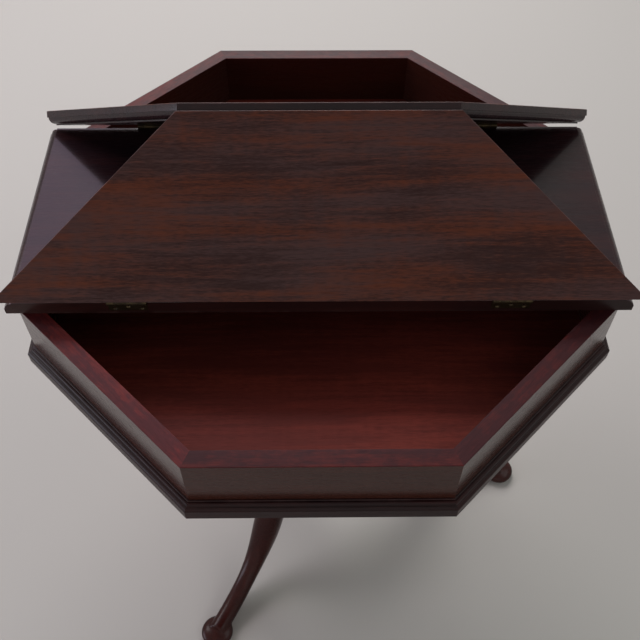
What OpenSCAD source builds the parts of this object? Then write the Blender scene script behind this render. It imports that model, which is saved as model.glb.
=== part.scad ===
// Octagonal occasional table. Its top is a fixed middle strip and two hinged lids over a shallow well.
// The box stands on a turned column with three cabriole legs.
// Millimetres. The origin lies on the floor under the column's axis, +Z is up and -Y is the front.
// The lids are drawn as they stand when both are open and lean on each other over the strip.

/* [Top] */
// Width of the octagonal top across its flats
top_w = 610; // [590:1:630]
// Length of the straight sides of the top, which lie across the strip's ends and along the lids' tips
end_l = 265; // [256:1:280]
// Thickness of the top boards
top_t = 16; // [15:0.5:20]
// Height of the table with its lids closed
table_h = 610; // [580:1:680]
// Open joint between the strip and each closed lid
lid_joint = 2; // [1.8:0.1:2.6]
// Clearance between a closed lid and the rim of the box
lid_seat_gap = 0.3; // [0.2:0.05:0.5]
// Clearance between the tips of the leaning lids
lid_tip_gap = 0.3; // [0.2:0.1:1]

/* [Edge moulding of the top] */
// Radius of the ovolo
ovolo_r = 7; // [4:0.1:8]
// Depth of the quirk under the top face
quirk_h = 1.5; // [0.6:0.1:2]
// Width of the quirk
quirk_w = 0.5; // [0.4:0.1:1.5]
// Ledge between the ovolo and the fillet
fillet_ledge = 1.4; // [0.4:0.1:1.6]

/* [Box] */
// How far the top oversails the walls of the box
overhang = 11; // [8:0.5:20]
// Thickness of the wall boards
wall_t = 17; // [14:0.5:20]
// Height of the wall boards
wall_h = 84; // [78:1:100]
// Thickness of the bottom board
bottom_t = 12; // [8:0.5:15]
// Recess below the bottom board
bottom_recess = 8; // [4:0.5:12]
// Length of each glue block
glue_block_l = 90; // [40:1:150]

/* [Base moulding] */
// Height of the base moulding
base_h = 21.5; // [20:0.5:28]
// Projection of the base moulding from the wall
base_out = 9.2; // [8.5:0.1:12]
// Height of the flat band at the bottom of the moulding
base_band_h = 13.5; // [8:0.5:14]
// Radius of the cove
cove_r = 3.9; // [3:0.1:5.5]
// Radius of the small bead against the wall
bead_r = 0.9; // [0.8:0.1:1.8]
// Size of the two fine steps between the cove and the band
base_step = 1; // [0.4:0.1:1.2]

/* [Hinges] */
// Distance of each hinge from the middle of the lid
hinge_x = 185; // [120:1:215]
// Length of a hinge
hinge_l = 38; // [30:1:60]
// Width of a leaf, from the pin's axis to its free edge
leaf_w = 13.5; // [11:0.5:15]
// Thickness of a leaf
leaf_t = 1.6; // [1:0.1:2]
// Radius of the knuckles
knuckle_r = 3; // [2.6:0.1:3.6]
// Radius of the pin
pin_r = 1.5; // [1:0.1:1.8]
// Height of the pin's axis above the top
pin_rise = 1.5; // [1.2:0.1:2.5]
// Number of knuckles on one hinge
knuckle_count = 5; // [3:2:7]
// Clearance between neighbouring knuckles
knuckle_gap = 0.2; // [0.1:0.05:0.4]
// Clearance between a knuckle and the boards and leaves round it
knuckle_clear = 0.3; // [0.2:0.05:0.5]
// Radial clearance of the pin in the knuckles
pin_fit = 0.05; // [0.02:0.01:0.1]

/* [Screws] */
// Radius of a hinge screw's shank
hinge_screw_r = 1.2; // [0.8:0.1:1.5]
// Radius of a hinge screw's head
hinge_head_r = 2.3; // [1.8:0.1:2.8]
// Length of a hinge screw
hinge_screw_l = 14; // [8:0.5:20]
// Distance of the outer screws from a leaf's ends
hinge_screw_inset = 6; // [4:0.5:9]
// How far the screws stand above or below the leaf's middle
hinge_screw_stagger = 1.5; // [0:0.1:2]
// Radius of a wood screw's shank
wood_screw_r = 2; // [1.5:0.1:2.5]
// Radius of a wood screw's head
wood_head_r = 4; // [3:0.1:4.5]
// Radial clearance round a screw's shank
screw_fit = 0.1; // [0.05:0.05:0.3]

/* [Cleats and bearer block] */
// Length of a cleat under the strip
cleat_l = 200; // [120:1:220]
// Width and height of a cleat
cleat_s = 20; // [14:1:22]
// Side of the bearer block
block_s = 190; // [150:1:230]
// Thickness of the bearer block
block_t = 22; // [18:1:28]
// Radius of the bearer block's corners
block_corner_r = 12; // [2:1:20]
// How far a wood screw stands in the second piece
screw_bite = 9; // [6:0.5:9.5]
// Distance of the outer screws from a cleat's ends
cleat_screw_inset = 25; // [10:1:50]
// Distance of the screws from the bearer block's edges
block_screw_inset = 24; // [16:1:34]

/* [Column] */
// Radius of the drum that takes the legs
drum_r = 33; // [30:0.5:40]
// Height of the drum's underside above the floor
drum_z = 121.5; // [110:0.5:140]
// Height of the drum
drum_h = 76; // [72:1:90]
// Radius of the ring above the drum
ring_r = 38; // [36:0.5:44]
// Height of the ring
ring_h = 9; // [6:0.5:12]
// Largest radius of the vase
vase_r = 32; // [26:0.5:38]
// Radius of the neck
neck_r = 14; // [11:0.5:18]
// Radius of the bead round the neck
neck_bead_r = 20; // [16:0.5:24]
// Height of a bead
bead_h = 8; // [5:0.5:10]
// Radius of the collar under the bearer block
collar_r = 42; // [34:0.5:50]
// Thickness of the collar
collar_h = 6; // [4:0.5:9]
// Radius of the tenon in the bearer block
tenon_r = 18; // [12:0.5:22]
// Radial clearance of the tenon
tenon_fit = 0.1; // [0.05:0.05:0.3]
// Thickness of the wedge in the tenon
wedge_t = 3; // [2:0.5:5]

/* [Legs] */
// Distance of a pad foot's centre from the column's axis
foot_reach = 292; // [240:1:292]
// Radius of a pad foot
pad_r = 22.5; // [18:0.5:26]
// Radius of a pad foot's flat sole
sole_r = 16.5; // [12:0.5:18]
// Height of a pad foot
pad_h = 18; // [14:0.5:22]
// Width of a leg at its shoulder
leg_w = 36; // [30:0.5:38]
// Depth of a leg at its shoulder
shoulder_d = 70; // [66:1:72]
// Distance of the knee from the column's axis
knee_reach = 143; // [130:1:155]
// Height of the knee above the floor
knee_z = 104; // [95:1:112]
// Width of a leg at its knee
knee_w = 39; // [34:0.5:42]
// Depth of a leg at its knee
knee_d = 39; // [34:0.5:42]
// Width of a leg at its ankle
ankle_w = 25; // [20:0.5:32]
// Depth of a leg at its ankle
ankle_d = 23; // [18:0.5:26]
// Depth of a leg's dovetail tenon
dovetail_d = 11; // [8:0.5:12]
// Width of the dovetail at the drum's face
dovetail_neck = 12; // [8:0.5:14]
// Width of the dovetail at its root
dovetail_root = 17; // [14:0.5:20]
// Height of the dovetail
dovetail_h = 60; // [45:1:64]
// Clearance round the dovetail
dovetail_fit = 0.15; // [0.05:0.05:0.3]

/* [Iron spider] */
// Thickness of the spider plate
spider_t = 2.5; // [1.5:0.1:4]
// Reach of each arm from the axis
spider_reach = 52; // [46:0.5:54]
// Width of each arm
spider_w = 16; // [12:0.5:20]
// Radius of the plate's hub
spider_hub_r = 26; // [20:0.5:29]
// Length of the spider's screws
spider_screw_l = 19; // [12:0.5:24]
// Clearance between an arm's end and the shoulder behind it
spider_end_gap = 4; // [2:0.5:6]

/* [Hidden] */

// Curves and small margins
fine_fn = 96;
small_fn = 48;
cut_over = 1;
half_side = tan(22.5);

// Levels, upwards from the floor
rim_z = table_h - top_t;
wall_z = rim_z - wall_h;
bottom_z = wall_z + bottom_recess;
block_z = bottom_z - block_t;

// Top
top_half = top_w / 2;
end_half = end_l / 2;
slant_half = (top_half + end_half) / sqrt(2);
strip_half = top_half * half_side;
edge_inset = quirk_w + ovolo_r + fillet_ledge;
lid_t = top_t - lid_seat_gap;
lid_start = strip_half + lid_joint;

// Pin's axis of the front lid, and the angle at which the ovolos of the two lids lean on each other
pin_y = strip_half + lid_joint / 2;
pin_z = table_h + pin_rise;
ovolo_reach = top_half - fillet_ledge - ovolo_r - pin_y;
ovolo_drop = quirk_h + ovolo_r + pin_rise;
open_angle = 180 - acos((pin_y - lid_tip_gap / 2 - ovolo_r) / norm([ovolo_reach, ovolo_drop]))
  + atan(ovolo_drop / ovolo_reach);

// Box
box_w = top_w - 2 * overhang;
wall_in = box_w / 2 - wall_t;
cleat_x = wall_in - cleat_s / 2;
cleat_screw_y = [for (i = [-1:1]) i * (cleat_l / 2 - cleat_screw_inset)];
block_screw_at = block_s / 2 - block_screw_inset;

// Hinges
knuckle_l = (hinge_l - (knuckle_count - 1) * knuckle_gap) / knuckle_count;
leaf_top = knuckle_r + knuckle_clear;
leaf_mid = -(leaf_w + leaf_top) / 2;
slot_share = 0.4;

// Column, upwards from the drum
run_steps = 10;
vase_share = 0.26;
neck_share = 0.70;
bead_pitch = 1.5 * bead_h;
column_flare = 6;
shaft_step = 5;
collar_lip = 3;
ring_z = drum_z + drum_h;
shaft_h = block_z - ring_z;
shaft_z = ring_z + ring_h + shaft_step;
shaft_r = neck_r + column_flare;
vase_z = ring_z + shaft_h * vase_share;
neck_z = ring_z + shaft_h * neck_share;
flare_z = neck_z + bead_pitch;
cup_z = block_z - collar_h - bead_h - collar_lip;
cup_r = collar_r - collar_lip;
capital_z = cup_z + collar_lip - bead_pitch;

// Legs: the centre line of a leg, as two curves in the plane of its radius and its height
leg_bury = 7;
leg_mid_z = drum_z + shoulder_d / 2;
knee = [knee_reach, knee_z];
knee_slope = [22, -40];
knee_pull = 1.24;
shoulder_guide = [78, leg_mid_z + 2];
ankle_guide = [200, 14];
upper_run = [[drum_r - leg_bury, leg_mid_z], shoulder_guide, knee - knee_pull * knee_slope, knee];
lower_run = [knee, knee + knee_slope, ankle_guide, [foot_reach, ankle_d / 2]];
shoulder_share = 0.3;
ankle_share = 0.7;
leg_turns = [0, 120, 240];
leg_sides = 16;
upper_steps = 12;
lower_steps = 16;
oval_power = 0.85;

// A point on a cubic curve with four control points
function on_curve(p, t) = pow(1 - t, 3) * p[0] + 3 * t * pow(1 - t, 2) * p[1]
  + 3 * t * t * (1 - t) * p[2] + t * t * t * p[3];
// Direction of the same curve
function along_curve(p, t) = 3 * pow(1 - t, 2) * (p[1] - p[0]) + 6 * t * (1 - t) * (p[2] - p[1])
  + 3 * t * t * (p[3] - p[2]);
// Straight and eased blends from one value to another
function blend(a, b, t) = a + (b - a) * t;
function ease(a, b, t) = blend(a, b, t * t * (3 - 2 * t));

// Regular octagonal prism with a flat side to the front, standing on z = 0
module octagon(flats, h) {
  rotate([0, 0, 22.5])
    cylinder(r = flats / 2 / cos(22.5), h = h, $fn = 8);
}

// Octagonal prism of the top, standing on z = 0, with slanted sides at 45 degrees
module top_octagon(h) {
  linear_extrude(height = h)
    polygon([
      [end_half, -top_half], [top_half, -end_half], [top_half, end_half], [end_half, top_half],
      [-end_half, top_half], [-top_half, end_half], [-top_half, -end_half], [-end_half, -top_half]]);
}

// Waste outside the edge moulding of the top, with x = 0 at the fillet and y = 0 at the top face
module edge_waste() {
  difference() {
    translate([-edge_inset, -quirk_h - ovolo_r])
      square([edge_inset + cut_over, quirk_h + ovolo_r + cut_over]);
    translate([-edge_inset - cut_over, -quirk_h - ovolo_r - cut_over])
      square([quirk_w + cut_over, ovolo_r + cut_over]);
    translate([-fillet_ledge - ovolo_r, -quirk_h - ovolo_r])
      circle(r = ovolo_r, $fn = fine_fn);
    translate([-edge_inset, -quirk_h - 2 * ovolo_r])
      square([edge_inset - fillet_ledge, ovolo_r]);
  }
}

// Waste along the eight edges of the top board
module top_edge_waste() {
  for (turn = [0:45:315])
    rotate([0, 0, turn])
      translate([0, -(turn % 90 == 0 ? top_half : slant_half), table_h])
        rotate([0, 0, -90])
          rotate([90, 0, 0])
            linear_extrude(height = end_l + 2 * (edge_inset + cut_over), center = true)
              edge_waste();
}

// Carries a lid's parts from closed to leaning
module opened() {
  translate([0, -pin_y, pin_z])
    rotate([-open_angle, 0, 0])
      translate([0, pin_y, -pin_z])
        children();
}

// The rear is the front turned half round the column's axis
module at_rear() {
  rotate([0, 0, 180])
    children();
}

// Puts a hinge's parts at the pin of the front lid, on the left or the right
module at_hinge(side) {
  translate([side * hinge_x, -pin_y, pin_z])
    children();
}

// Places of the screws in a leaf, pointing into the board on the +Y side
module at_leaf_screws() {
  for (i = [-1:1])
    translate([i * (hinge_l / 2 - hinge_screw_inset), lid_joint / 2,
      leaf_mid + hinge_screw_stagger * (1 - 2 * abs(i))])
      rotate([-90, 0, 0])
        children();
}

// Room for a leaf, its knuckles and its screws in the board on the +Y side
module hinge_mortise() {
  translate([-hinge_l / 2, 0, -leaf_w])
    cube([hinge_l, lid_joint / 2 + leaf_t, leaf_w + cut_over]);
  rotate([0, 90, 0])
    cylinder(r = leaf_top, h = hinge_l + 2 * knuckle_gap, center = true, $fn = small_fn);
  at_leaf_screws()
    cylinder(r = hinge_screw_r + screw_fit, h = hinge_screw_l + screw_fit, $fn = small_fn);
}

module top_strip() {
  color([0.24, 0.09, 0.08])
    difference() {
      translate([0, 0, rim_z])
        top_octagon(top_t);
      top_edge_waste();
      for (side = [-1, 1])
        translate([-top_w, side > 0 ? strip_half : -strip_half - top_w, rim_z - cut_over])
          cube([2 * top_w, top_w, top_t + 2 * cut_over]);
      for (side = [-1, 1]) {
        at_hinge(side)
          hinge_mortise();
        at_rear()
          at_hinge(side)
            hinge_mortise();
      }
      strip_screw_holes();
    }
}

// The front lid, closed
module closed_lid() {
  difference() {
    translate([0, 0, rim_z + lid_seat_gap])
      top_octagon(lid_t);
    top_edge_waste();
    translate([-top_w, -lid_start, rim_z - cut_over])
      cube([2 * top_w, 2 * top_w, top_t + 2 * cut_over]);
    for (side = [-1, 1])
      at_hinge(side)
        mirror([0, 1, 0])
          hinge_mortise();
  }
}

module front_lid() {
  color([0.26, 0.10, 0.09])
    opened()
      closed_lid();
}

module rear_lid() {
  color([0.22, 0.08, 0.07])
    at_rear()
      opened()
        closed_lid();
}

// One wall board with mitred ends, turned to its side of the octagon
module wall(turn) {
  color([0.30, 0.14, 0.12])
    rotate([0, 0, turn])
      translate([0, 0, wall_z])
        linear_extrude(height = wall_h)
          polygon([
            [-box_w / 2 * half_side, -box_w / 2],
            [box_w / 2 * half_side, -box_w / 2],
            [wall_in * half_side, -wall_in],
            [-wall_in * half_side, -wall_in]]);
}

module bottom_board() {
  color([0.34, 0.15, 0.10])
    difference() {
      translate([0, 0, bottom_z])
        octagon(2 * wall_in, bottom_t);
      block_screw_holes();
    }
}

// Three-sided blocks glued in the corner between the bottom board and the walls
module glue_blocks() {
  color([0.45, 0.28, 0.17])
    for (turn = [0:45:315])
      rotate([0, 0, turn])
        translate([0, -wall_in, bottom_z])
          rotate([0, 90, 0])
            linear_extrude(height = glue_block_l, center = true)
              polygon([[0, 0], [bottom_recess, 0], [0, bottom_recess]]);
}

// Profile of the base moulding, with x = 0 at the wall and y = 0 at its foot
module base_profile() {
  cove_x = base_out - 2 * base_step;
  cove_y = base_band_h + 2 * base_step;
  difference() {
    union() {
      square([base_out, base_band_h]);
      square([base_out - base_step, base_band_h + base_step]);
      square([cove_x, cove_y + cove_r]);
      square([bead_r, base_h]);
      translate([bead_r, base_h - bead_r])
        circle(r = bead_r, $fn = small_fn);
    }
    translate([cove_x, cove_y + cove_r])
      circle(r = cove_r, $fn = fine_fn);
  }
}

// One length of base moulding, mitred at both ends and turned to its side of the octagon
module base_moulding(turn) {
  reach = (box_w / 2 + base_out) * half_side + cut_over;
  color([0.16, 0.06, 0.07])
    rotate([0, 0, turn])
      translate([0, 0, wall_z])
        intersection() {
          translate([0, -box_w / 2, 0])
            rotate([0, 0, -90])
              rotate([90, 0, 0])
                linear_extrude(height = 2 * reach, center = true)
                  base_profile();
          linear_extrude(height = base_h)
            polygon([[0, 0], [-reach, -reach / half_side], [reach, -reach / half_side]]);
        }
}

// Screws that hold the strip down to the cleats, head at the cleat's underside
module at_strip_screws() {
  for (side = [-1, 1])
    for (y = cleat_screw_y)
      translate([side * cleat_x, y, rim_z - cleat_s])
        children();
}

module strip_screw_holes() {
  at_strip_screws()
    cylinder(r = wood_screw_r + screw_fit, h = cleat_s + screw_bite + screw_fit, $fn = small_fn);
}

module cleat(side) {
  color([0.45, 0.28, 0.17])
    difference() {
      translate([side * cleat_x, 0, rim_z - cleat_s / 2])
        cube([cleat_s, cleat_l, cleat_s], center = true);
      strip_screw_holes();
      at_strip_screws()
        screw_sink(wood_screw_r, wood_head_r);
    }
}

// A countersunk screw, its flat head at z = 0 and its shank upwards
module screw(shank_r, head_r, length) {
  slot_w = shank_r * slot_share;
  color([0.72, 0.66, 0.52])
    difference() {
      union() {
        cylinder(r = shank_r, h = length, $fn = small_fn);
        cylinder(r1 = head_r, r2 = shank_r, h = head_r - shank_r, $fn = small_fn);
      }
      translate([-head_r, -slot_w / 2, -cut_over])
        cube([2 * head_r, slot_w, cut_over + (head_r - shank_r) / 2]);
    }
}

// Room for a countersunk head, sunk from z = 0
module screw_sink(shank_r, head_r) {
  translate([0, 0, -cut_over])
    cylinder(r1 = head_r + screw_fit + cut_over, r2 = shank_r + screw_fit,
      h = head_r - shank_r + cut_over, $fn = small_fn);
}

module strip_screws() {
  at_strip_screws()
    screw(wood_screw_r, wood_head_r, cleat_s + screw_bite);
}

// Knuckles of one leaf: every second one, from the first or from the second
module knuckles(first) {
  for (i = [first:2:knuckle_count - 1])
    translate([-hinge_l / 2 + i * (knuckle_l + knuckle_gap), 0, 0]) {
      rotate([0, 90, 0])
        cylinder(r = knuckle_r, h = knuckle_l, $fn = small_fn);
      translate([0, lid_joint / 2, -leaf_top - cut_over])
        cube([knuckle_l, leaf_t, leaf_top + cut_over]);
    }
}

// A hinge leaf in the face of the board on the +Y side of the pin
module leaf(first) {
  color([0.66, 0.52, 0.30])
    difference() {
      union() {
        translate([-hinge_l / 2, lid_joint / 2, -leaf_w])
          cube([hinge_l, leaf_t, leaf_w - leaf_top]);
        knuckles(first);
      }
      rotate([0, 90, 0])
        cylinder(r = pin_r + pin_fit, h = hinge_l + 2 * cut_over, center = true, $fn = small_fn);
      at_leaf_screws() {
        cylinder(r = hinge_screw_r + screw_fit, h = leaf_t + cut_over, $fn = small_fn);
        screw_sink(hinge_screw_r, hinge_head_r);
      }
    }
}

module strip_leaf(side) {
  at_hinge(side)
    leaf(0);
}

module lid_leaf(side) {
  opened()
    at_hinge(side)
      mirror([0, 1, 0])
        leaf(1);
}

module hinge_pin(side) {
  color([0.60, 0.47, 0.27])
    at_hinge(side)
      rotate([0, 90, 0])
        cylinder(r = pin_r, h = hinge_l, center = true, $fn = small_fn);
}

module strip_hinge_screws() {
  for (side = [-1, 1])
    at_hinge(side)
      at_leaf_screws()
        screw(hinge_screw_r, hinge_head_r, hinge_screw_l);
}

module lid_hinge_screws() {
  opened()
    for (side = [-1, 1])
      at_hinge(side)
        mirror([0, 1, 0])
          at_leaf_screws()
            screw(hinge_screw_r, hinge_head_r, hinge_screw_l);
}

// Screws up through the bearer block into the bottom board
module at_block_screws() {
  for (x = [-1, 1])
    for (y = [-1, 1])
      translate([x * block_screw_at, y * block_screw_at, block_z])
        children();
}

module block_screw_holes() {
  at_block_screws()
    cylinder(r = wood_screw_r + screw_fit, h = block_t + screw_bite + screw_fit, $fn = small_fn);
}

module bearer_block() {
  corner = block_s / 2 - block_corner_r;
  color([0.40, 0.24, 0.16])
    difference() {
      union() {
        translate([-block_s / 2, -corner, block_z])
          cube([block_s, 2 * corner, block_t]);
        translate([-corner, -block_s / 2, block_z])
          cube([2 * corner, block_s, block_t]);
        for (x = [-1, 1])
          for (y = [-1, 1])
            translate([x * corner, y * corner, block_z])
              cylinder(r = block_corner_r, h = block_t, $fn = small_fn);
      }
      translate([0, 0, block_z - cut_over])
        cylinder(r = tenon_r + tenon_fit, h = block_t + 2 * cut_over, $fn = fine_fn);
      block_screw_holes();
      at_block_screws()
        screw_sink(wood_screw_r, wood_head_r);
    }
}

module bearer_screws() {
  at_block_screws()
    screw(wood_screw_r, wood_head_r, block_t + screw_bite);
}

// Part of a half-round bead on the column, standing on a height
function bead(radius, z, h) =
  [for (a = [-60:20:60]) [radius - h / 2 * (1 - cos(a)), z + h / 2 * (1 + sin(a))]];
// An eased run of the column from one radius and height to another
function run(r1, z1, r2, z2) =
  [for (i = [1:run_steps]) [ease(r1, r2, i / run_steps), blend(z1, z2, i / run_steps)]];
// Hollow curve of the cup under the collar
function cup() =
  [for (a = [0:15:90]) [cup_r - (cup_r - neck_bead_r) * cos(a), cup_z + (bead_h + collar_lip) * sin(a)]];

// Half of the column's outline, from its foot to the top of the tenon
function column_outline() = concat(
  [[0, drum_z], [drum_r, drum_z], [drum_r, ring_z]],
  bead(ring_r, ring_z, ring_h),
  [[shaft_r + column_flare, ring_z + ring_h], [shaft_r, shaft_z]],
  run(shaft_r, shaft_z, vase_r, vase_z),
  run(vase_r, vase_z, neck_r, neck_z),
  bead(neck_bead_r, neck_z, bead_h),
  [[neck_r, flare_z]],
  run(neck_r, flare_z, shaft_r, capital_z),
  bead(neck_bead_r + column_flare, capital_z, bead_h),
  cup(),
  [[collar_r, block_z - collar_h], [collar_r, block_z]],
  [[tenon_r, block_z], [tenon_r, bottom_z], [0, bottom_z]]);

// A leg's dovetail, root towards the axis, grown by a clearance
module dovetail(grow) {
  foot = drum_r - dovetail_d - grow;
  face = drum_r + 2 * cut_over;
  rise = dovetail_h + grow;
  spread = (dovetail_root - dovetail_neck) / 2 / dovetail_d * (face - foot);
  neck = dovetail_neck / 2 + grow - spread * (face - drum_r) / (face - foot);
  translate([0, 0, drum_z])
    linear_extrude(height = rise)
      polygon([[foot, -neck - spread], [face, -neck], [face, neck], [foot, neck + spread]]);
}

module column() {
  color([0.26, 0.10, 0.08])
    difference() {
      rotate_extrude($fn = fine_fn)
        polygon(column_outline());
      for (turn = leg_turns)
        rotate([0, 0, turn])
          translate([0, 0, -dovetail_fit])
            dovetail(dovetail_fit);
      translate([-wedge_t / 2 - screw_fit, -tenon_r - cut_over, block_z])
        cube([wedge_t + 2 * screw_fit, 2 * (tenon_r + cut_over), block_t + cut_over]);
      spider_centre_hole();
    }
}

// Wedge that spreads the tenon, flush with the top of the block
module tenon_wedge() {
  color([0.50, 0.30, 0.18])
    intersection() {
      translate([0, 0, block_z])
        cylinder(r = tenon_r, h = block_t, $fn = fine_fn);
      translate([-wedge_t / 2, -tenon_r, block_z])
        cube([wedge_t, 2 * tenon_r, block_t]);
    }
}

// Width and depth of the leg's rounded section, on the upper and on the lower run
function upper_size(t) = [ease(leg_w, knee_w, t),
  ease(shoulder_d, knee_d, max(0, (t - shoulder_share) / (1 - shoulder_share)))];
function lower_size(t) = [ease(knee_w, ankle_w, min(1, t / ankle_share)),
  ease(knee_d, ankle_d, min(1, t / ankle_share))];

// One ring of the leg: an oval with full flanks, square to the centre line
function leg_ring(p, dir, size) =
  let (u = dir / norm(dir))
  [for (k = [0:leg_sides - 1])
    let (
      a = 360 * k / leg_sides,
      side = sign(cos(a)) * pow(abs(cos(a)), oval_power) * size[0] / 2,
      up = sign(sin(a)) * pow(abs(sin(a)), oval_power) * size[1] / 2
    )
    [p[0] - u[1] * up, side, p[1] + u[0] * up]];

leg_rings = concat(
  [for (i = [0:upper_steps])
    leg_ring(on_curve(upper_run, i / upper_steps), along_curve(upper_run, i / upper_steps),
      upper_size(i / upper_steps))],
  [for (i = [1:lower_steps])
    leg_ring(on_curve(lower_run, i / lower_steps), along_curve(lower_run, i / lower_steps),
      lower_size(i / lower_steps))]);

// Closed skin over a list of rings with the same number of points
module skin(rings) {
  n = len(rings[0]);
  last = len(rings) - 1;
  polyhedron(
    points = [for (ring = rings) for (p = ring) p],
    faces = concat(
      [[for (k = [0:n - 1]) k]],
      [for (i = [0:last - 1]) for (k = [0:n - 1])
        [i * n + k, (i + 1) * n + k, (i + 1) * n + (k + 1) % n]],
      [for (i = [0:last - 1]) for (k = [0:n - 1])
        [i * n + k, (i + 1) * n + (k + 1) % n, i * n + (k + 1) % n]],
      [[for (k = [n - 1:-1:0]) last * n + k]]));
}

// Pad foot: a flat sole, a rounded rim and a domed top
module pad_foot() {
  rim_h = pad_h / 2;
  translate([foot_reach, 0, 0])
    rotate_extrude($fn = small_fn)
      polygon(concat(
        [[0, 0]],
        [for (a = [-90:15:0]) [sole_r + (pad_r - sole_r) * cos(a), rim_h * (1 + sin(a))]],
        [for (a = [15:15:90]) [pad_r * cos(a), rim_h + (pad_h - rim_h) * sin(a)]]));
}

// One leg, towards +X, coped to the drum and flat under its shoulder for the spider
module leg(turn) {
  seat_l = spider_reach + spider_end_gap;
  color([0.28, 0.11, 0.09])
    rotate([0, 0, turn]) {
      difference() {
        union() {
          skin(leg_rings);
          pad_foot();
        }
        cylinder(r = drum_r, h = table_h, $fn = fine_fn);
        translate([0, -leg_w, 0])
          cube([seat_l, 2 * leg_w, drum_z]);
        translate([0, -table_h / 2, -table_h])
          cube([table_h, table_h, table_h]);
        spider_arm_hole();
      }
      intersection() {
        dovetail(0);
        cylinder(r = drum_r + cut_over, h = table_h, $fn = fine_fn);
      }
    }
}

// Pilot holes for the spider's screws
module spider_centre_hole() {
  translate([0, 0, drum_z - spider_t - cut_over])
    cylinder(r = wood_screw_r + screw_fit, h = spider_screw_l + 2 * cut_over, $fn = small_fn);
}

module spider_arm_hole() {
  translate([spider_reach - spider_w / 2, 0, 0])
    spider_centre_hole();
}

module iron_spider() {
  color([0.20, 0.20, 0.21])
    difference() {
      translate([0, 0, drum_z - spider_t])
        union() {
          cylinder(r = spider_hub_r, h = spider_t, $fn = small_fn);
          for (turn = leg_turns)
            rotate([0, 0, turn]) {
              translate([spider_hub_r / 2, -spider_w / 2, 0])
                cube([spider_reach - (spider_hub_r + spider_w) / 2, spider_w, spider_t]);
              translate([spider_reach - spider_w / 2, 0, 0])
                cylinder(r = spider_w / 2, h = spider_t, $fn = small_fn);
            }
        }
      spider_centre_hole();
      for (turn = leg_turns)
        rotate([0, 0, turn])
          spider_arm_hole();
      at_spider_screws()
        screw_sink(wood_screw_r, wood_head_r);
    }
}

module at_spider_screws() {
  translate([0, 0, drum_z - spider_t])
    children();
  for (turn = leg_turns)
    rotate([0, 0, turn])
      translate([spider_reach - spider_w / 2, 0, drum_z - spider_t])
        children();
}

module spider_screws() {
  at_spider_screws()
    screw(wood_screw_r, wood_head_r, spider_screw_l);
}

top_strip();
front_lid();
rear_lid();
wall(0);  // wall_front
wall(45);  // wall_front_right
wall(90);  // wall_right
wall(135);  // wall_rear_right
wall(180);  // wall_rear
wall(225);  // wall_rear_left
wall(270);  // wall_left
wall(315);  // wall_front_left
bottom_board();
glue_blocks();
base_moulding(0);  // base_moulding_front
base_moulding(45);  // base_moulding_front_right
base_moulding(90);  // base_moulding_right
base_moulding(135);  // base_moulding_rear_right
base_moulding(180);  // base_moulding_rear
base_moulding(225);  // base_moulding_rear_left
base_moulding(270);  // base_moulding_left
base_moulding(315);  // base_moulding_front_left
cleat(-1);  // cleat_left
cleat(1);  // cleat_right
strip_screws();
strip_leaf(-1);  // hinge_front_left_strip_leaf
lid_leaf(-1);  // hinge_front_left_lid_leaf
hinge_pin(-1);  // hinge_front_left_pin
strip_leaf(1);  // hinge_front_right_strip_leaf
lid_leaf(1);  // hinge_front_right_lid_leaf
hinge_pin(1);  // hinge_front_right_pin
at_rear() strip_leaf(1);  // hinge_rear_left_strip_leaf
at_rear() lid_leaf(1);  // hinge_rear_left_lid_leaf
at_rear() hinge_pin(1);  // hinge_rear_left_pin
at_rear() strip_leaf(-1);  // hinge_rear_right_strip_leaf
at_rear() lid_leaf(-1);  // hinge_rear_right_lid_leaf
at_rear() hinge_pin(-1);  // hinge_rear_right_pin
strip_hinge_screws();  // front_strip_hinge_screws
lid_hinge_screws();  // front_lid_hinge_screws
at_rear() strip_hinge_screws();  // rear_strip_hinge_screws
at_rear() lid_hinge_screws();  // rear_lid_hinge_screws
bearer_block();
bearer_screws();
column();
tenon_wedge();
leg(0);  // leg_right
leg(120);  // leg_rear_left
leg(240);  // leg_front_left
iron_spider();
spider_screws();
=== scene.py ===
"""Looks of the octagonal occasional table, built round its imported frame.

The studio comes first, then the boards of the top, the hinges, the box, the pedestal and the
fixings. All lengths are in metres, in the frame's own axes: the origin lies on the floor under
the column's axis, +Z is up and -Y is the front.
"""

import logging
from dataclasses import dataclass
from enum import Enum
from math import acos, atan2, copysign, cos, degrees, hypot, pi, radians, sin, sqrt, tan
from typing import Any, Iterable, Sequence

import bmesh
import bpy
import numpy as np
from mathutils import Matrix, Vector


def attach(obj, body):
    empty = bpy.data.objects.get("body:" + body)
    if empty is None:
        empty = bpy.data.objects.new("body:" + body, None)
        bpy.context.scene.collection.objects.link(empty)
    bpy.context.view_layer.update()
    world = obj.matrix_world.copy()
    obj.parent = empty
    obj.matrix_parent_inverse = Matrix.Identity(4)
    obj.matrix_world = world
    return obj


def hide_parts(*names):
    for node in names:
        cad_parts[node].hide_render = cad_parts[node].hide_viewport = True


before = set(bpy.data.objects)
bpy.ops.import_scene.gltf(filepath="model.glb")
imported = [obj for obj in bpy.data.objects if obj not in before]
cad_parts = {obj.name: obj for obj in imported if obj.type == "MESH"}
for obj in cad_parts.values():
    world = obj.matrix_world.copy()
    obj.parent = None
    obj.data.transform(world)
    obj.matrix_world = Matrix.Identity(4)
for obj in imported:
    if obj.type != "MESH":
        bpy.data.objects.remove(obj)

Mesh = bpy.types.Mesh
Point2 = tuple[float, float]
Point3 = tuple[float, float, float]
Colour = tuple[float, float, float]

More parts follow.
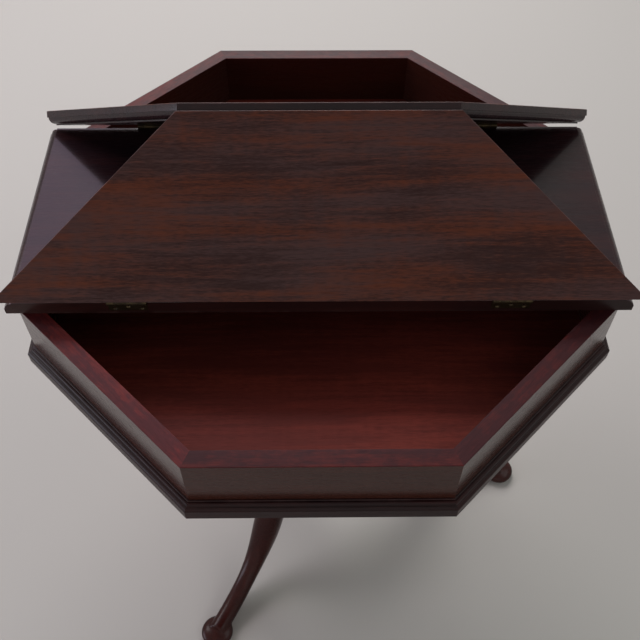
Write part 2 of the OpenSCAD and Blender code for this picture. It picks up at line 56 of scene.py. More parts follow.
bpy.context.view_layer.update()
LOG = logging.getLogger("table")
HALF_SIDE = tan(radians(22.5))
SMOOTH_LIMIT = radians(26)
BOARD_SHIFT = (1.37, 0.71, 0.43)
WEAR_FROM = 250.0
WEAR_TO = 1100.0
MERGE = 1e-7
MERGE_CARVED = 2e-6
SAME = Matrix.Identity(4)
FLIP_Y = Matrix.Scale(-1.0, 4, Vector((0.0, 1.0, 0.0)))


class Body(Enum):
    """Bodies of the frame that pieces ride on."""

    TABLE = "table"
    FRONT_LID = "front_lid"
    REAR_LID = "rear_lid"


class Slot(Enum):
    """Names of material slots; the script gives them to no piece."""

    TOP = "polished_mahogany"
    BOX = "box_mahogany"
    MOULDING = "moulding_mahogany"
    PEDESTAL = "pedestal_mahogany"
    HINGE = "hinge_brass"
    SCREW = "screw_brass"


class Board(Enum):
    """Shifts that set the grain of one sort of board apart from the others."""

    STRIP = 1.0
    LIDS = 2.0
    BOX = 5.0
    COLUMN = 9.0
    LEGS = 12.0


class End(Enum):
    """The two ends of the table that carry a lid, with the turn about Z from the front one."""

    FRONT = 0
    REAR = 180

    @property
    def body(self) -> Body:
        """Body of the lid at this end."""
        return Body.FRONT_LID if self is End.FRONT else Body.REAR_LID

    @property
    def turn(self) -> Matrix:
        """Turn that carries the front's parts to this end."""
        return about_z(self.value)


def about_z(turn: float) -> Matrix:
    """Turn about the table's axis, in degrees."""
    return Matrix.Rotation(radians(turn), 4, "Z")


def cos_sin(turn: float) -> Point2:
    """Cosine and sine of an angle in degrees."""
    return cos(radians(turn)), sin(radians(turn))


def heading(azimuth: float, elevation: float) -> Vector:
    """Direction from its azimuth, from +Y towards +X, and its elevation, in degrees."""
    (north, east), (level, up) = cos_sin(azimuth), cos_sin(elevation)
    return Vector((east * level, north * level, up))


class Wire:
    """A node's output that takes part in arithmetic.

    Numbers go through Math nodes and vectors through Vector Math nodes.
    """

    def __init__(self, tree: "Tree", socket: bpy.types.NodeSocket) -> None:
        """Wraps an output socket of a tree."""
        self.tree = tree
        self.socket = socket

    def _join(self, operation: str, first: Any, second: Any) -> "Wire":
        """Adds one Math or Vector Math node.

        Args:
            operation: The node's operation.
            first: Its first value, a wire or a number.
            second: Its second value, a wire or a number.

        Returns:
            The node's result.
        """
        vector = any(isinstance(v, Wire) and v.socket.type == "VECTOR" for v in (first, second))
        kind = "ShaderNodeVectorMath" if vector else "ShaderNodeMath"
        return self.tree.add(kind, {0: first, 1: second}, operation=operation)

    def __add__(self, other: Any) -> "Wire":
        """Sum."""
        return self._join("ADD", self, other)

    def __radd__(self, other: Any) -> "Wire":
        """Sum, from the right."""
        return self._join("ADD", other, self)

    def __sub__(self, other: Any) -> "Wire":
        """Difference."""
        return self._join("SUBTRACT", self, other)

    def __rsub__(self, other: Any) -> "Wire":
        """Difference, from the right."""
        return self._join("SUBTRACT", other, self)

    def __mul__(self, other: Any) -> "Wire":
        """Product."""
        return self._join("MULTIPLY", self, other)

    def __rmul__(self, other: Any) -> "Wire":
        """Product, from the right."""
        return self._join("MULTIPLY", other, self)

    def __rtruediv__(self, other: Any) -> "Wire":
        """Quotient, from the right."""
        return self._join("DIVIDE", other, self)

    def maximum(self, other: Any) -> "Wire":
        """The larger of two."""
        return self._join("MAXIMUM", self, other)

    def within(self, low: float, high: float) -> "Wire":
        """Smooth step from 0 at a low value to 1 at a high one."""
        inputs = {0: self, 1: low, 2: high}
        return self.tree.add("ShaderNodeMapRange", inputs, interpolation_type="SMOOTHSTEP")


class Tree:
    """Builds nodes in a shader tree or a geometry tree."""

    def __init__(self, tree: bpy.types.NodeTree) -> None:
        """Empties a tree and holds it."""
        self.tree = tree
        tree.nodes.clear()

    def add(
        self, kind: str, inputs: dict[int | str, Any] | None = None, output: int | str = 0, **settings: Any
    ) -> Wire | None:
        """Adds one node.

        Args:
            kind: The node's type.
            inputs: Values or wires of its sockets, by number or by name.
            output: The output that is given back.
            settings: The node's own settings, which are made before its sockets are filled.

        Returns:
            That output as a wire, or None for a node without outputs.
        """
        node = self.tree.nodes.new(kind)
        for name, value in settings.items():
            setattr(node, name, value)
        for name, value in (inputs or {}).items():
            if isinstance(value, Wire):
                self.tree.links.new(value.socket, node.inputs[name])
            else:
                node.inputs[name].default_value = value
        return Wire(self, node.outputs[output]) if len(node.outputs) else None

    def mix(self, share: Any, first: Any, second: Any, blend: str = "MIX") -> Wire:
        """Mixes two colours.

        Args:
            share: Share of the second colour.
            first: First colour, a wire or three numbers.
            second: Second colour, a wire or three numbers.
            blend: The Mix node's blend type.

        Returns:
            The mixed colour.
        """
        first, second = (v if isinstance(v, Wire) else (*v, 1.0) for v in (first, second))
        inputs = {0: share, 6: first, 7: second}
        return self.add("ShaderNodeMix", inputs, 2, data_type="RGBA", blend_type=blend)

    def noise(self, place: Wire, stretch: Point3, detail: float = 2.0, rough: float = 0.5) -> Wire:
        """Noise stretched along the axes.

        Args:
            place: Coordinates in metres.
            stretch: Noise cells per metre along each axis.
            detail: Octaves.
            rough: Share of each next octave.

        Returns:
            Noise from 0 to 1.
        """
        inputs = {"Vector": place * stretch, "Scale": 1.0, "Detail": detail, "Roughness": rough}
        return self.add("ShaderNodeTexNoise", inputs)

    def bump(self, strength: float, distance: float, height: Wire) -> Wire:
        """Bump of a height that is counted in a distance."""
        return self.add("ShaderNodeBump", {"Strength": strength, "Distance": distance, "Height": height})

    def background_rays(self) -> Wire:
        """Tells the rays that show the background: camera, glossy and transmission rays.

        Returns:
            1 for those rays, 0 for the others.
        """
        kinds = ("Is Camera Ray", "Is Glossy Ray", "Is Transmission Ray")
        camera, glossy, through = (self.add("ShaderNodeLightPath", None, kind) for kind in kinds)
        return camera.maximum(glossy).maximum(through)

    def place(self) -> Wire:
        """Object coordinates, in metres."""
        return self.add("ShaderNodeTexCoord", None, "Object")

    def attribute(self, name: str, output: str = "Fac") -> Wire:
        """Reads a named attribute of the mesh."""
        return self.add("ShaderNodeAttribute", None, output, attribute_name=name, attribute_type="GEOMETRY")


@dataclass(frozen=True)
class Finish:
    """What every finish has: a name, and a material made once."""

    name: str

    def paint(self, tree: Tree) -> dict[str, Any]:
        """Adds the finish's nodes, and gives the Principled shader's values and wires by name."""
        raise NotImplementedError

    def material(self) -> bpy.types.Material:
        """Makes the material, or finds the one made before.

        Returns:
            The material.
        """
        made = bpy.data.materials.get(self.name)
        if not made:
            made = bpy.data.materials.new(self.name)
            made.use_nodes = True
            tree = Tree(made.node_tree)
            shader = tree.add("ShaderNodeBsdfPrincipled", self.paint(tree))
            tree.add("ShaderNodeOutputMaterial", {"Surface": shader})
        return made


@dataclass(frozen=True)
class Mahogany(Finish):
    """Mahogany under polish, with its grain along the first grain axis."""

    dark: Colour
    main: Colour
    flame: Colour
    worn_and_highlight: Colour = (0.15, 0.085, 0.080)
    figure: float = 0.8
    smoke: float = 0.5
    mottle: float = 0.0
    board_spread: float = 0.0
    roughness: float = 0.26
    rough_spread: float = 0.10
    coat: float = 1.0
    coat_roughness: float = 0.12
    coat_ior: float = 1.5
    specular: float = 0.1
    ripple: float = 0.14
    pore_depth: float = 0.015
    wear: float = 0.5
    on_object: bool = False

    def grain(self, tree: Tree) -> Wire:
        """Coordinates along, across and through the board, shifted from board to board.

        Args:
            tree: The material's tree.

        Returns:
            The coordinates, in metres.
        """
        if self.on_object:
            return tree.place()
        board = tree.attribute("board")
        spread = tree.add("ShaderNodeCombineXYZ", {i: board * shift for i, shift in enumerate(BOARD_SHIFT)})
        return tree.attribute("grain", "Vector") + spread

    def paint(self, tree: Tree) -> dict[str, Any]:
        """Adds the nodes of grain, pores, polish, arris wear with a painted highlight, and painted light on
        the left boards.

        Args:
            tree: The material's tree.

        Returns:
            Values and wires for the Principled shader.
        """
        grain = self.grain(tree)
        bend = tree.noise(grain, (1.6, 5.0, 5.0), 1.0) - 0.5
        laid = grain + tree.add("ShaderNodeCombineXYZ", {0: 0.0, 1: bend * 0.030, 2: bend * 0.014})
        ribbons = tree.noise(laid, (4.5, 42.0, 28.0), 2.0, 0.5)
        streaks = tree.noise(laid, (14.0, 250.0, 190.0), 2.0, 0.55)
        dashes = tree.noise(laid, (130.0, 900.0, 700.0), 2.0, 0.6)
        fiddle = tree.noise(grain, (105.0, 15.0, 15.0), 1.0)
        pores = tree.noise(laid, (85.0, 1100.0, 900.0), 1.0).within(0.50, 0.66)
        cloud = tree.noise(grain, (5.0, 16.0, 16.0), 2.0)
        lit = ribbons * 0.50 + streaks * 0.27 + dashes * 0.13 + fiddle * 0.10
        if self.mottle:
            lit = lit + (tree.noise(grain, (75.0, 120.0, 120.0), 3.0, 0.6) - 0.5) * self.mottle
        colour = tree.mix(lit.within(0.40, 0.66) * self.figure, self.main, self.flame)
        shade = cloud * 0.46 + streaks * 0.26 + dashes * 0.28
        colour = tree.mix(shade.within(0.56, 0.37) * self.smoke, colour, self.dark)
        colour = tree.mix(pores * 0.3, colour, self.dark)
        # Painted light: the boards on the left, numbers 5 to 7 of the frame, are made up to twice as light,
        # as if lit from that side.
        if self.board_spread:
            board = tree.attribute("board").within(4.0, 7.0) * self.board_spread
            colour = tree.mix(board, colour, (2.0, 1.7, 1.55), "MULTIPLY")
        # Arris wear and painted highlight: the worn colour goes onto convex arrises; where it is light, as
        # on the lids' underside, it paints the highlight of a rounded edge catching the light.
        patches = tree.noise(grain, (60.0, 90.0, 90.0), 3.0).within(0.35, 0.65)
        arris_wear_and_highlight = tree.attribute("wear") * patches * self.wear
        height = tree.noise(grain, (24.0, 30.0, 30.0), 2.0) * self.ripple - pores * self.pore_depth
        return {
            "Base Color": tree.mix(arris_wear_and_highlight, colour, self.worn_and_highlight),
            "Roughness": (cloud - 0.5) * self.rough_spread + self.roughness + pores * 0.10 + arris_wear_and_highlight * 0.18,
            "Coat Weight": (1.0 - arris_wear_and_highlight * 0.6) * self.coat,
            "Coat Roughness": self.coat_roughness,
            "Coat IOR": self.coat_ior,
            "Specular IOR Level": self.specular,
            "Normal": tree.bump(1.0, 0.0001, height),
        }


@dataclass(frozen=True)
class BareWood(Finish):
    """Plain unpolished wood of the parts that never show."""

    dark: Colour = (0.16, 0.075, 0.035)
    light: Colour = (0.33, 0.18, 0.09)
    dust: Colour = (0.22, 0.17, 0.13)
    stretch: Point3 = (5.0, 150.0, 150.0)

    def paint(self, tree: Tree) -> dict[str, Any]:
        """Adds the nodes of dry grain and dust.

        Args:
            tree: The material's tree.

        Returns:
            Values and wires for the Principled shader.
        """
        place = tree.place()
        grain = tree.noise(place, self.stretch, 4.0, 0.6)
        fine = tree.noise(place, tuple(6 * s for s in self.stretch), 1.0)
        dust = tree.noise(place, (9.0, 9.0, 9.0), 3.0)
        colour = tree.mix(grain.within(0.3, 0.7), self.dark, self.light)
        colour = tree.mix(dust.within(0.45, 0.85) * 0.35, colour, self.dust)
        bump = tree.bump(0.6, 0.0003, grain + fine * 0.4)
        return {"Base Color": colour, "Roughness": dust * 0.2 + 0.62, "Normal": bump}


@dataclass(frozen=True)
class Metal(Finish):
    """Aged metal: bright where it is worn, dull and stained elsewhere."""

    clean: Colour = (0.085, 0.062, 0.034)
    stain: Colour = (0.018, 0.012, 0.009)
    stain_share: float = 0.75
    roughness: float = 0.40
    metallic: float = 1.0
    grit: float = 0.15

    def paint(self, tree: Tree) -> dict[str, Any]:
        """Adds the nodes of tarnish, scratches and wear.

        Args:
            tree: The material's tree.

        Returns:
            Values and wires for the Principled shader.
        """
        place = tree.place()
        cloud = tree.noise(place, (130.0, 130.0, 130.0), 4.0, 0.6)
        scratch = tree.noise(place, (180.0, 2600.0, 2600.0), 2.0)
        tarnish = (cloud.within(0.3, 0.7) * self.stain_share) * (1.0 - tree.attribute("wear") * 0.8)
        return {
            "Base Color": tree.mix(tarnish, self.clean, self.stain),
            "Roughness": tarnish * 0.25 + scratch * 0.12 + self.roughness - 0.06,
            "Metallic": self.metallic - tarnish * 0.25,
            "Normal": tree.bump(self.grit, 0.0002, cloud + scratch),
        }


@dataclass(frozen=True)
class Palette:
    """The finishes of the table. A mahogany's first three colours are dark, main and flame."""

    top: Mahogany = Mahogany(
        "polished_mahogany_top", (0.016, 0.0075, 0.0095), (0.026, 0.0115, 0.0150), (0.048, 0.0160, 0.0165),
        coat=0.4, specular=0.08,
    )
    # The underside's light worn colour and strong wear paint a highlight along its rounded arrises, on top
    # of real wear.
    inner: Mahogany = Mahogany(
        "polished_mahogany_underside", (0.022, 0.0062, 0.0048), (0.074, 0.0385, 0.0370),
        (0.140, 0.0320, 0.0110), worn_and_highlight=(0.24, 0.165, 0.17), smoke=0.76, roughness=0.40, coat=0.12,
        coat_roughness=0.2, wear=0.9,
    )
    box: Mahogany = Mahogany(
        "polished_mahogany_walls", (0.028, 0.0086, 0.0056), (0.040, 0.0112, 0.0072),
        (0.058, 0.0146, 0.0086), smoke=0.25, coat=0.54, coat_roughness=0.2, coat_ior=1.36, specular=0.12,
        ripple=0.06, pore_depth=0.004,
    )
    # The rims on the left get painted light, so they are lighter than those on the right.
    rim: Mahogany = Mahogany(
        "satin_mahogany_rims", (0.032, 0.0060, 0.0080), (0.051, 0.0096, 0.0124), (0.124, 0.0164, 0.0140),
        smoke=0.6, mottle=0.6, board_spread=0.75, roughness=0.46, coat=0.05, coat_roughness=0.3,
        specular=0.14,
    )
    moulding: Mahogany = Mahogany(
        "satin_mahogany_moulding", (0.008, 0.0024, 0.0030), (0.013, 0.0034, 0.0042),
        (0.029, 0.0054, 0.0054), roughness=0.42, coat=0.22, coat_roughness=0.26,
    )
    edge: Mahogany = Mahogany(
        "satin_mahogany_edges", (0.011, 0.0042, 0.0042), (0.018, 0.0066, 0.0066), (0.034, 0.0098, 0.0082),
        roughness=0.42, coat=0.25, coat_roughness=0.3,
    )
    well: Mahogany = Mahogany(
        "satin_mahogany_well", (0.092, 0.0155, 0.0115), (0.156, 0.0270, 0.0200), (0.270, 0.0430, 0.0280),
        roughness=0.42, coat=0.03, coat_roughness=0.3, on_object=True,
    )
    pedestal: Mahogany = Mahogany(
        "polished_mahogany_pedestal", (0.018, 0.0033, 0.0029), (0.028, 0.0050, 0.0042),
        (0.048, 0.0080, 0.0058), coat=0.2, coat_roughness=0.24, specular=0.12,
    )
    plain: BareWood = BareWood("bare_secondary_wood")
    brass: Metal = Metal("aged_hinge_brass")
    screw: Metal = Metal("aged_screw_brass", clean=(0.16, 0.12, 0.065), roughness=0.36)
    iron: Metal = Metal(
        "blacked_iron", (0.035, 0.034, 0.033), (0.030, 0.016, 0.010), roughness=0.55, metallic=0.7, grit=0.5
    )


PALETTE = Palette()


def linked(name: str, data: bpy.types.ID) -> bpy.types.Object:
    """Makes an object and puts it in the scene.

    Args:
        name: The object's name.
        data: Its mesh, light or camera.

    Returns:
        The object.
    """
    made = bpy.data.objects.new(name, data)
    bpy.context.scene.collection.objects.link(made)
    return made


def tidied(mesh: Mesh, merge: float = MERGE) -> Mesh:
    """Merges doubles and turns the normals outwards.

    Args:
        mesh: The mesh, which is changed.
        merge: Distance under which vertices are one.

    Returns:
        The same mesh.
    """
    work = bmesh.new()
    work.from_mesh(mesh)
    bmesh.ops.remove_doubles(work, verts=work.verts, dist=merge)
    bmesh.ops.recalc_face_normals(work, faces=work.faces)
    work.to_mesh(mesh)
    work.free()
    return mesh


def stack(name: str, rings: Sequence[Sequence[Sequence[float]]]) -> Mesh:
    """Makes a closed skin over rings that have the same number of points.

    Args:
        name: The mesh's name.
        rings: The rings, from one end to the other.

    Returns:
        The mesh.
    """
    count = len(rings[0])
    last = (len(rings) - 1) * count
    faces = [tuple(range(count)), tuple(range(last, last + count))]
    for low in range(0, last, count):
        for k in range(count):
            n = (k + 1) % count
            faces.append((low + k, low + n, low + count + n, low + count + k))
    made = bpy.data.meshes.new(name)
    made.from_pydata([tuple(p) for ring in rings for p in ring], [], faces)
    return tidied(made)


def prism(name: str, outline: Sequence[Point2], low: float, high: float, along_x: bool = False) -> Mesh:
    """Makes a prism over an outline.

    Args:
        name: The mesh's name.
        outline: Its corners, as (x, y), or as (y, z) along X.
        low: Its start along the axis.
        high: Its end along the axis.
        along_x: True for the axis X in place of Z.

    Returns:
        The mesh.
    """
    return stack(name, [[(h, a, b) if along_x else (a, b, h) for a, b in outline] for h in (low, high)])


def block(name: str, low: Point3, high: Point3) -> Mesh:
    """Makes a block from its lowest and highest corner."""
    outline = [(low[0], low[1]), (high[0], low[1]), (high[0], high[1]), (low[0], high[1])]
    return prism(name, outline, low[2], high[2])


def circle(radius: float, steps: int) -> list[Point2]:
    """Gives the corners of a regular polygon round the origin."""
    turns = [2 * pi * (k + 0.5) / steps for k in range(steps)]
    return [(radius * cos(t), radius * sin(t)) for t in turns]


def arc(centre: Point2, radius: float, start: float, end: float, steps: int) -> list[Point2]:
    """Gives points on an arc.

    Args:
        centre: Its centre.
        radius: Its radius.
        start: First angle, in degrees.
        end: Last angle, in degrees.
        steps: Number of steps.

    Returns:
        The points, both ends among them.
    """
    ways = [cos_sin(start + (end - start) * k / steps) for k in range(steps + 1)]
    return [(centre[0] + radius * c, centre[1] + radius * s) for c, s in ways]


def shaped(mesh: Mesh, modifiers: Sequence[tuple[str, dict[str, Any]]]) -> Mesh:
    """Runs modifiers on a mesh and gives the plain result.

    Args:
        mesh: The mesh, which is used up.
        modifiers: Types of modifiers with their settings, in order.

    Returns:
        The new mesh.
    """
    carrier = linked("work", mesh)
    for kind, settings in modifiers:
        modifier = carrier.modifiers.new(kind, kind)
        for name, value in settings.items():
            if kind == "NODES" and name != "node_group":
                modifier[name] = value
            else:
                setattr(modifier, name, value)
    bpy.context.view_layer.update()
    graph = bpy.context.evaluated_depsgraph_get()
    made = bpy.data.meshes.new_from_object(carrier.evaluated_get(graph), depsgraph=graph)
    made.name = mesh.name
    bpy.data.objects.remove(carrier)
    bpy.data.meshes.remove(mesh)
    return made


def carved(mesh: Mesh, others: Iterable[Mesh], join: bool = False) -> Mesh:
    """Cuts meshes out of a mesh, or joins them to it.

    Args:
        mesh: The mesh, which is used up.
        others: The other meshes, which are used up.
        join: True to join them.

    Returns:
        The new mesh.
    """
    for other in others:
        tool = linked("tool", other)
        settings = {"operation": "UNION" if join else "DIFFERENCE", "solver": "EXACT", "object": tool}
        mesh = shaped(mesh, [("BOOLEAN", settings)])
        bpy.data.objects.remove(tool)
        bpy.data.meshes.remove(other)
    return tidied(mesh, MERGE_CARVED)


def moved(mesh: Mesh, matrix: Matrix) -> Mesh:
    """Moves a mesh, and turns its faces back where the matrix mirrors it.

    Args:
        mesh: The mesh, which is changed.
        matrix: The move.

    Returns:
        The same mesh.
    """
    mesh.transform(matrix)
    if matrix.determinant() < 0:
        mesh.flip_normals()
    return mesh


def set_grain(mesh: Mesh, shift: float, matrix: Matrix = SAME) -> Mesh:
    """Stores where each vertex lies along, across and through the grain.

    Args:
        mesh: The mesh, in the place where its board is straight.
        shift: Sets this board apart from others.
        matrix: Carries that place to the grain's axes.

    Returns:
        The same mesh.
    """
    points = np.empty(len(mesh.vertices) * 3, np.float32)
    mesh.vertices.foreach_get("co", points)
    points = points.reshape(-1, 3) @ np.array(matrix.to_3x3()).T
    points += np.array(BOARD_SHIFT) * shift
    layer = mesh.attributes.new("grain", "FLOAT_VECTOR", "POINT")
    layer.data.foreach_set("vector", points.astype(np.float32).ravel())
    return mesh


def mark_faces(mesh: Mesh, ways: Sequence[Point3], least: float) -> None:
    """Numbers the faces by where they look: 1 for the first way, 2 for the next, 0 for the rest.

    Args:
        mesh: The mesh.
        ways: The unit directions.
        least: Least cosine between a face's normal and its way.
    """
    aims = [Vector(way) for way in ways]
    for face in mesh.polygons:
        found = [i + 1 for i, aim in enumerate(aims) if face.normal.dot(aim) > least]
        face.material_index = found[0] if found else 0


def set_wear(mesh: Mesh) -> None:
    """Stores how far each vertex lies on a sharp convex arris, by its mean curvature.

    Args:
        mesh: The mesh.
    """
    work = bmesh.new()
    work.from_mesh(mesh)
    work.verts.ensure_lookup_table()
    bend = np.zeros(len(work.verts))
    area = np.full(len(work.verts), 1e-12)
    for edge in work.edges:
        if len(edge.link_faces) == 2:
            turn = edge.calc_face_angle_signed(0.0) * edge.calc_length()
            for vert in edge.verts:
                bend[vert.index] += turn
    for face in work.faces:
        share = face.calc_area() / len(face.verts)
        for vert in face.verts:
            area[vert.index] += share
    work.free()
    wear = np.clip((bend / area / 4 - WEAR_FROM) / (WEAR_TO - WEAR_FROM), 0, 1)
    mesh.attributes.new("wear", "FLOAT", "POINT").data.foreach_set("value", wear.astype(np.float32))


def hand_over(
    name: str, mesh: Mesh, finishes: Sequence[Finish], body: Body, nodes: Sequence[str]
) -> None:
    """Makes a finished mesh a piece of the table.

    Args:
        name: The piece's name.
        mesh: Its mesh, in place.
        finishes: One finish for each material number of its faces.
        body: The body it moves with.
        nodes: The CAD nodes it stands for.
    """
    numbers = np.zeros(len(mesh.polygons), np.int32)
    mesh.polygons.foreach_get("material_index", numbers)
    mesh.materials.clear()
    for finish in finishes:
        mesh.materials.append(finish.material())
    mesh.polygons.foreach_set("material_index", np.minimum(numbers, len(finishes) - 1))
    mesh.shade_smooth()
    mesh.set_sharp_from_angle(angle=SMOOTH_LIMIT)
    mesh = shaped(mesh, [("WEIGHTED_NORMAL", {"keep_sharp": True, "weight": 50})])
    set_wear(mesh)
    mesh.name = name
    piece = linked(name, mesh)
    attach(piece, body.value)
    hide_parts(*nodes)
    LOG.info("%s: %d faces on %s", name, len(mesh.polygons), body.value)


class Repeater:
    """A Geometry Nodes tree with named inputs, for what repeats or follows a path."""

    def __init__(self, name: str, *inputs: tuple[str, str]) -> None:
        """Starts the tree.

        Args:
            name: The tree's name.
            inputs: Name and kind of each input between the geometry and the material.
        """
        group = bpy.data.node_groups.new(name, "GeometryNodeTree")
        for way in ("OUTPUT", "INPUT"):
            group.interface.new_socket("Geometry", in_out=way, socket_type="NodeSocketGeometry")
        self.keys = {}
        for label, kind in (*inputs, ("Material", "Material")):
            socket = group.interface.new_socket(label, in_out="INPUT", socket_type=f"NodeSocket{kind}")
            self.keys[label] = socket.identifier
        self.tree = Tree(group)
        entry = group.nodes.new("NodeGroupInput")
        self.given = {output.name: Wire(self.tree, output) for output in entry.outputs if output.name}

    def run(self, mesh: Mesh, shape: Wire, finish: Finish, values: dict[str, float]) -> Mesh:
        """Ends the tree in Realize Instances and Set Material, and runs it on a mesh.

        Args:
            mesh: The mesh, which is used up.
            shape: The tree's shape.
            finish: Its finish.
            values: Each other input's value, by name.

        Returns:
            The plain result.
        """
        real = self.tree.add("GeometryNodeRealizeInstances", {"Geometry": shape})
        dressed = {"Geometry": real, "Material": self.given["Material"]}
        self.tree.add("NodeGroupOutput", {0: self.tree.add("GeometryNodeSetMaterial", dressed)})
        settings = {"node_group": self.tree.tree, self.keys["Material"]: finish.material()}
        settings |= {self.keys[name]: value for name, value in values.items()}
        return shaped(mesh, [("NODES", settings)])


def round_axis(mesh: Mesh, count: int, finish: Finish) -> Mesh:
    """Repeats a piece round the table's axis.

    Args:
        mesh: The piece, which is used up.
        count: Number of pieces, each turned from the last by an equal share.
        finish: Their finish.

    Returns:
        One mesh of all pieces, with each one's number in the attribute board.
    """
    ring = Repeater("round_axis", ("Count", "Int"))
    tree, given = ring.tree, ring.given
    points = tree.add("GeometryNodePoints", {"Count": given["Count"]})
    index = tree.add("GeometryNodeInputIndex")
    turn = {"Axis": (0.0, 0.0, 1.0), "Angle": index * (2 * pi / given["Count"])}
    rotation = tree.add("FunctionNodeAxisAngleToRotation", turn)
    inputs = {"Points": points, "Instance": given["Geometry"], "Rotation": rotation}
    placed = tree.add("GeometryNodeInstanceOnPoints", inputs)
    inputs = {"Geometry": placed, "Name": "board", "Value": index}
    numbered = tree.add("GeometryNodeStoreNamedAttribute", inputs, data_type="FLOAT", domain="INSTANCE")
    return ring.run(mesh, numbered, finish, {"Count": count})


def turned(name: str, outline: Sequence[Point2], segments: int, finish: Finish) -> Mesh:
    """Turns an outline round the vertical axis, as on a lathe.

    Args:
        name: The mesh's name.
        outline: Radius and height of each point, upwards.
        segments: Faces round the axis.
        finish: The finish.

    Returns:
        The closed mesh.
    """
    spindle = bpy.data.meshes.new(name)
    rise = 1e-6
    points = [(0.0, 0.0, z + rise * i) for i, (_, z) in enumerate(outline)]
    spindle.from_pydata(points, [(i, i + 1) for i in range(len(points) - 1)], [])
    layer = spindle.attributes.new("radius_here", "FLOAT", "POINT")
    layer.data.foreach_set("value", [r for r, _ in outline])
    lathe = Repeater("turned", ("Segments", "Int"))
    tree, given = lathe.tree, lathe.given
    path = tree.add("GeometryNodeMeshToCurve", {0: given["Geometry"]})
    inputs = {"Resolution": given["Segments"], "Radius": 1.0}
    ring = tree.add("GeometryNodeCurvePrimitiveCircle", inputs)
    radius = tree.add("GeometryNodeInputNamedAttribute", {"Name": "radius_here"}, data_type="FLOAT")
    inputs = {"Curve": path, "Profile Curve": ring, "Scale": radius, "Fill Caps": True}
    body = tree.add("GeometryNodeCurveToMesh", inputs)
    return tidied(lathe.run(spindle, body, finish, {"Segments": segments}))


@dataclass(frozen=True)
class TopSizes:
    """Sizes that the top, the hinges and the box share."""

    width: float = 0.610
    thickness: float = 0.016
    height: float = 0.610
    joint: float = 0.002
    seat_gap: float = 0.0003
    tip_gap: float = 0.0003
    overhang: float = 0.011
    wall_t: float = 0.017
    wall_h: float = 0.084
    bottom_recess: float = 0.008
    end_half: float = 0.1325
    ovolo_r: float = 0.007
    quirk_h: float = 0.0015
    quirk_w: float = 0.0005
    fillet_ledge: float = 0.0014
    pin_rise: float = 0.0015
    arris: float = 0.0004
    lid_arris: float = 0.001
    corner_r: float = 0.0009

    @property
    def rim_z(self) -> float:
        """Height of the box's rim and of the strip's underside."""
        return self.height - self.thickness

    @property
    def wall_z(self) -> float:
        """Height of the walls' lower edges."""
        return self.rim_z - self.wall_h

    @property
    def strip_half(self) -> float:
        """Half the strip's depth."""
        return self.width / 2 * HALF_SIDE

    @property
    def pin(self) -> Vector:
        """A point on the axis of the front lid's pins."""
        return Vector((0.0, -self.strip_half - self.joint / 2, self.height + self.pin_rise))

    @property
    def open_angle(self) -> float:
        """Angle from closed to leaning, at which the ovolos of the lids all but touch.

        Returns:
            The angle, in radians.
        """
        reach = self.width / 2 - self.fillet_ledge - self.ovolo_r + self.pin.y
        drop = self.quirk_h + self.ovolo_r + self.pin_rise
        touch = -self.pin.y - self.tip_gap / 2 - self.ovolo_r
        return pi - acos(touch / hypot(reach, drop)) + atan2(drop, reach)

    @property
    def opened(self) -> Matrix:
        """Carries the front lid's parts from closed to leaning."""
        there = Matrix.Translation(self.pin)
        return there @ Matrix.Rotation(-self.open_angle, 4, "X") @ there.inverted()


TOP = TopSizes()


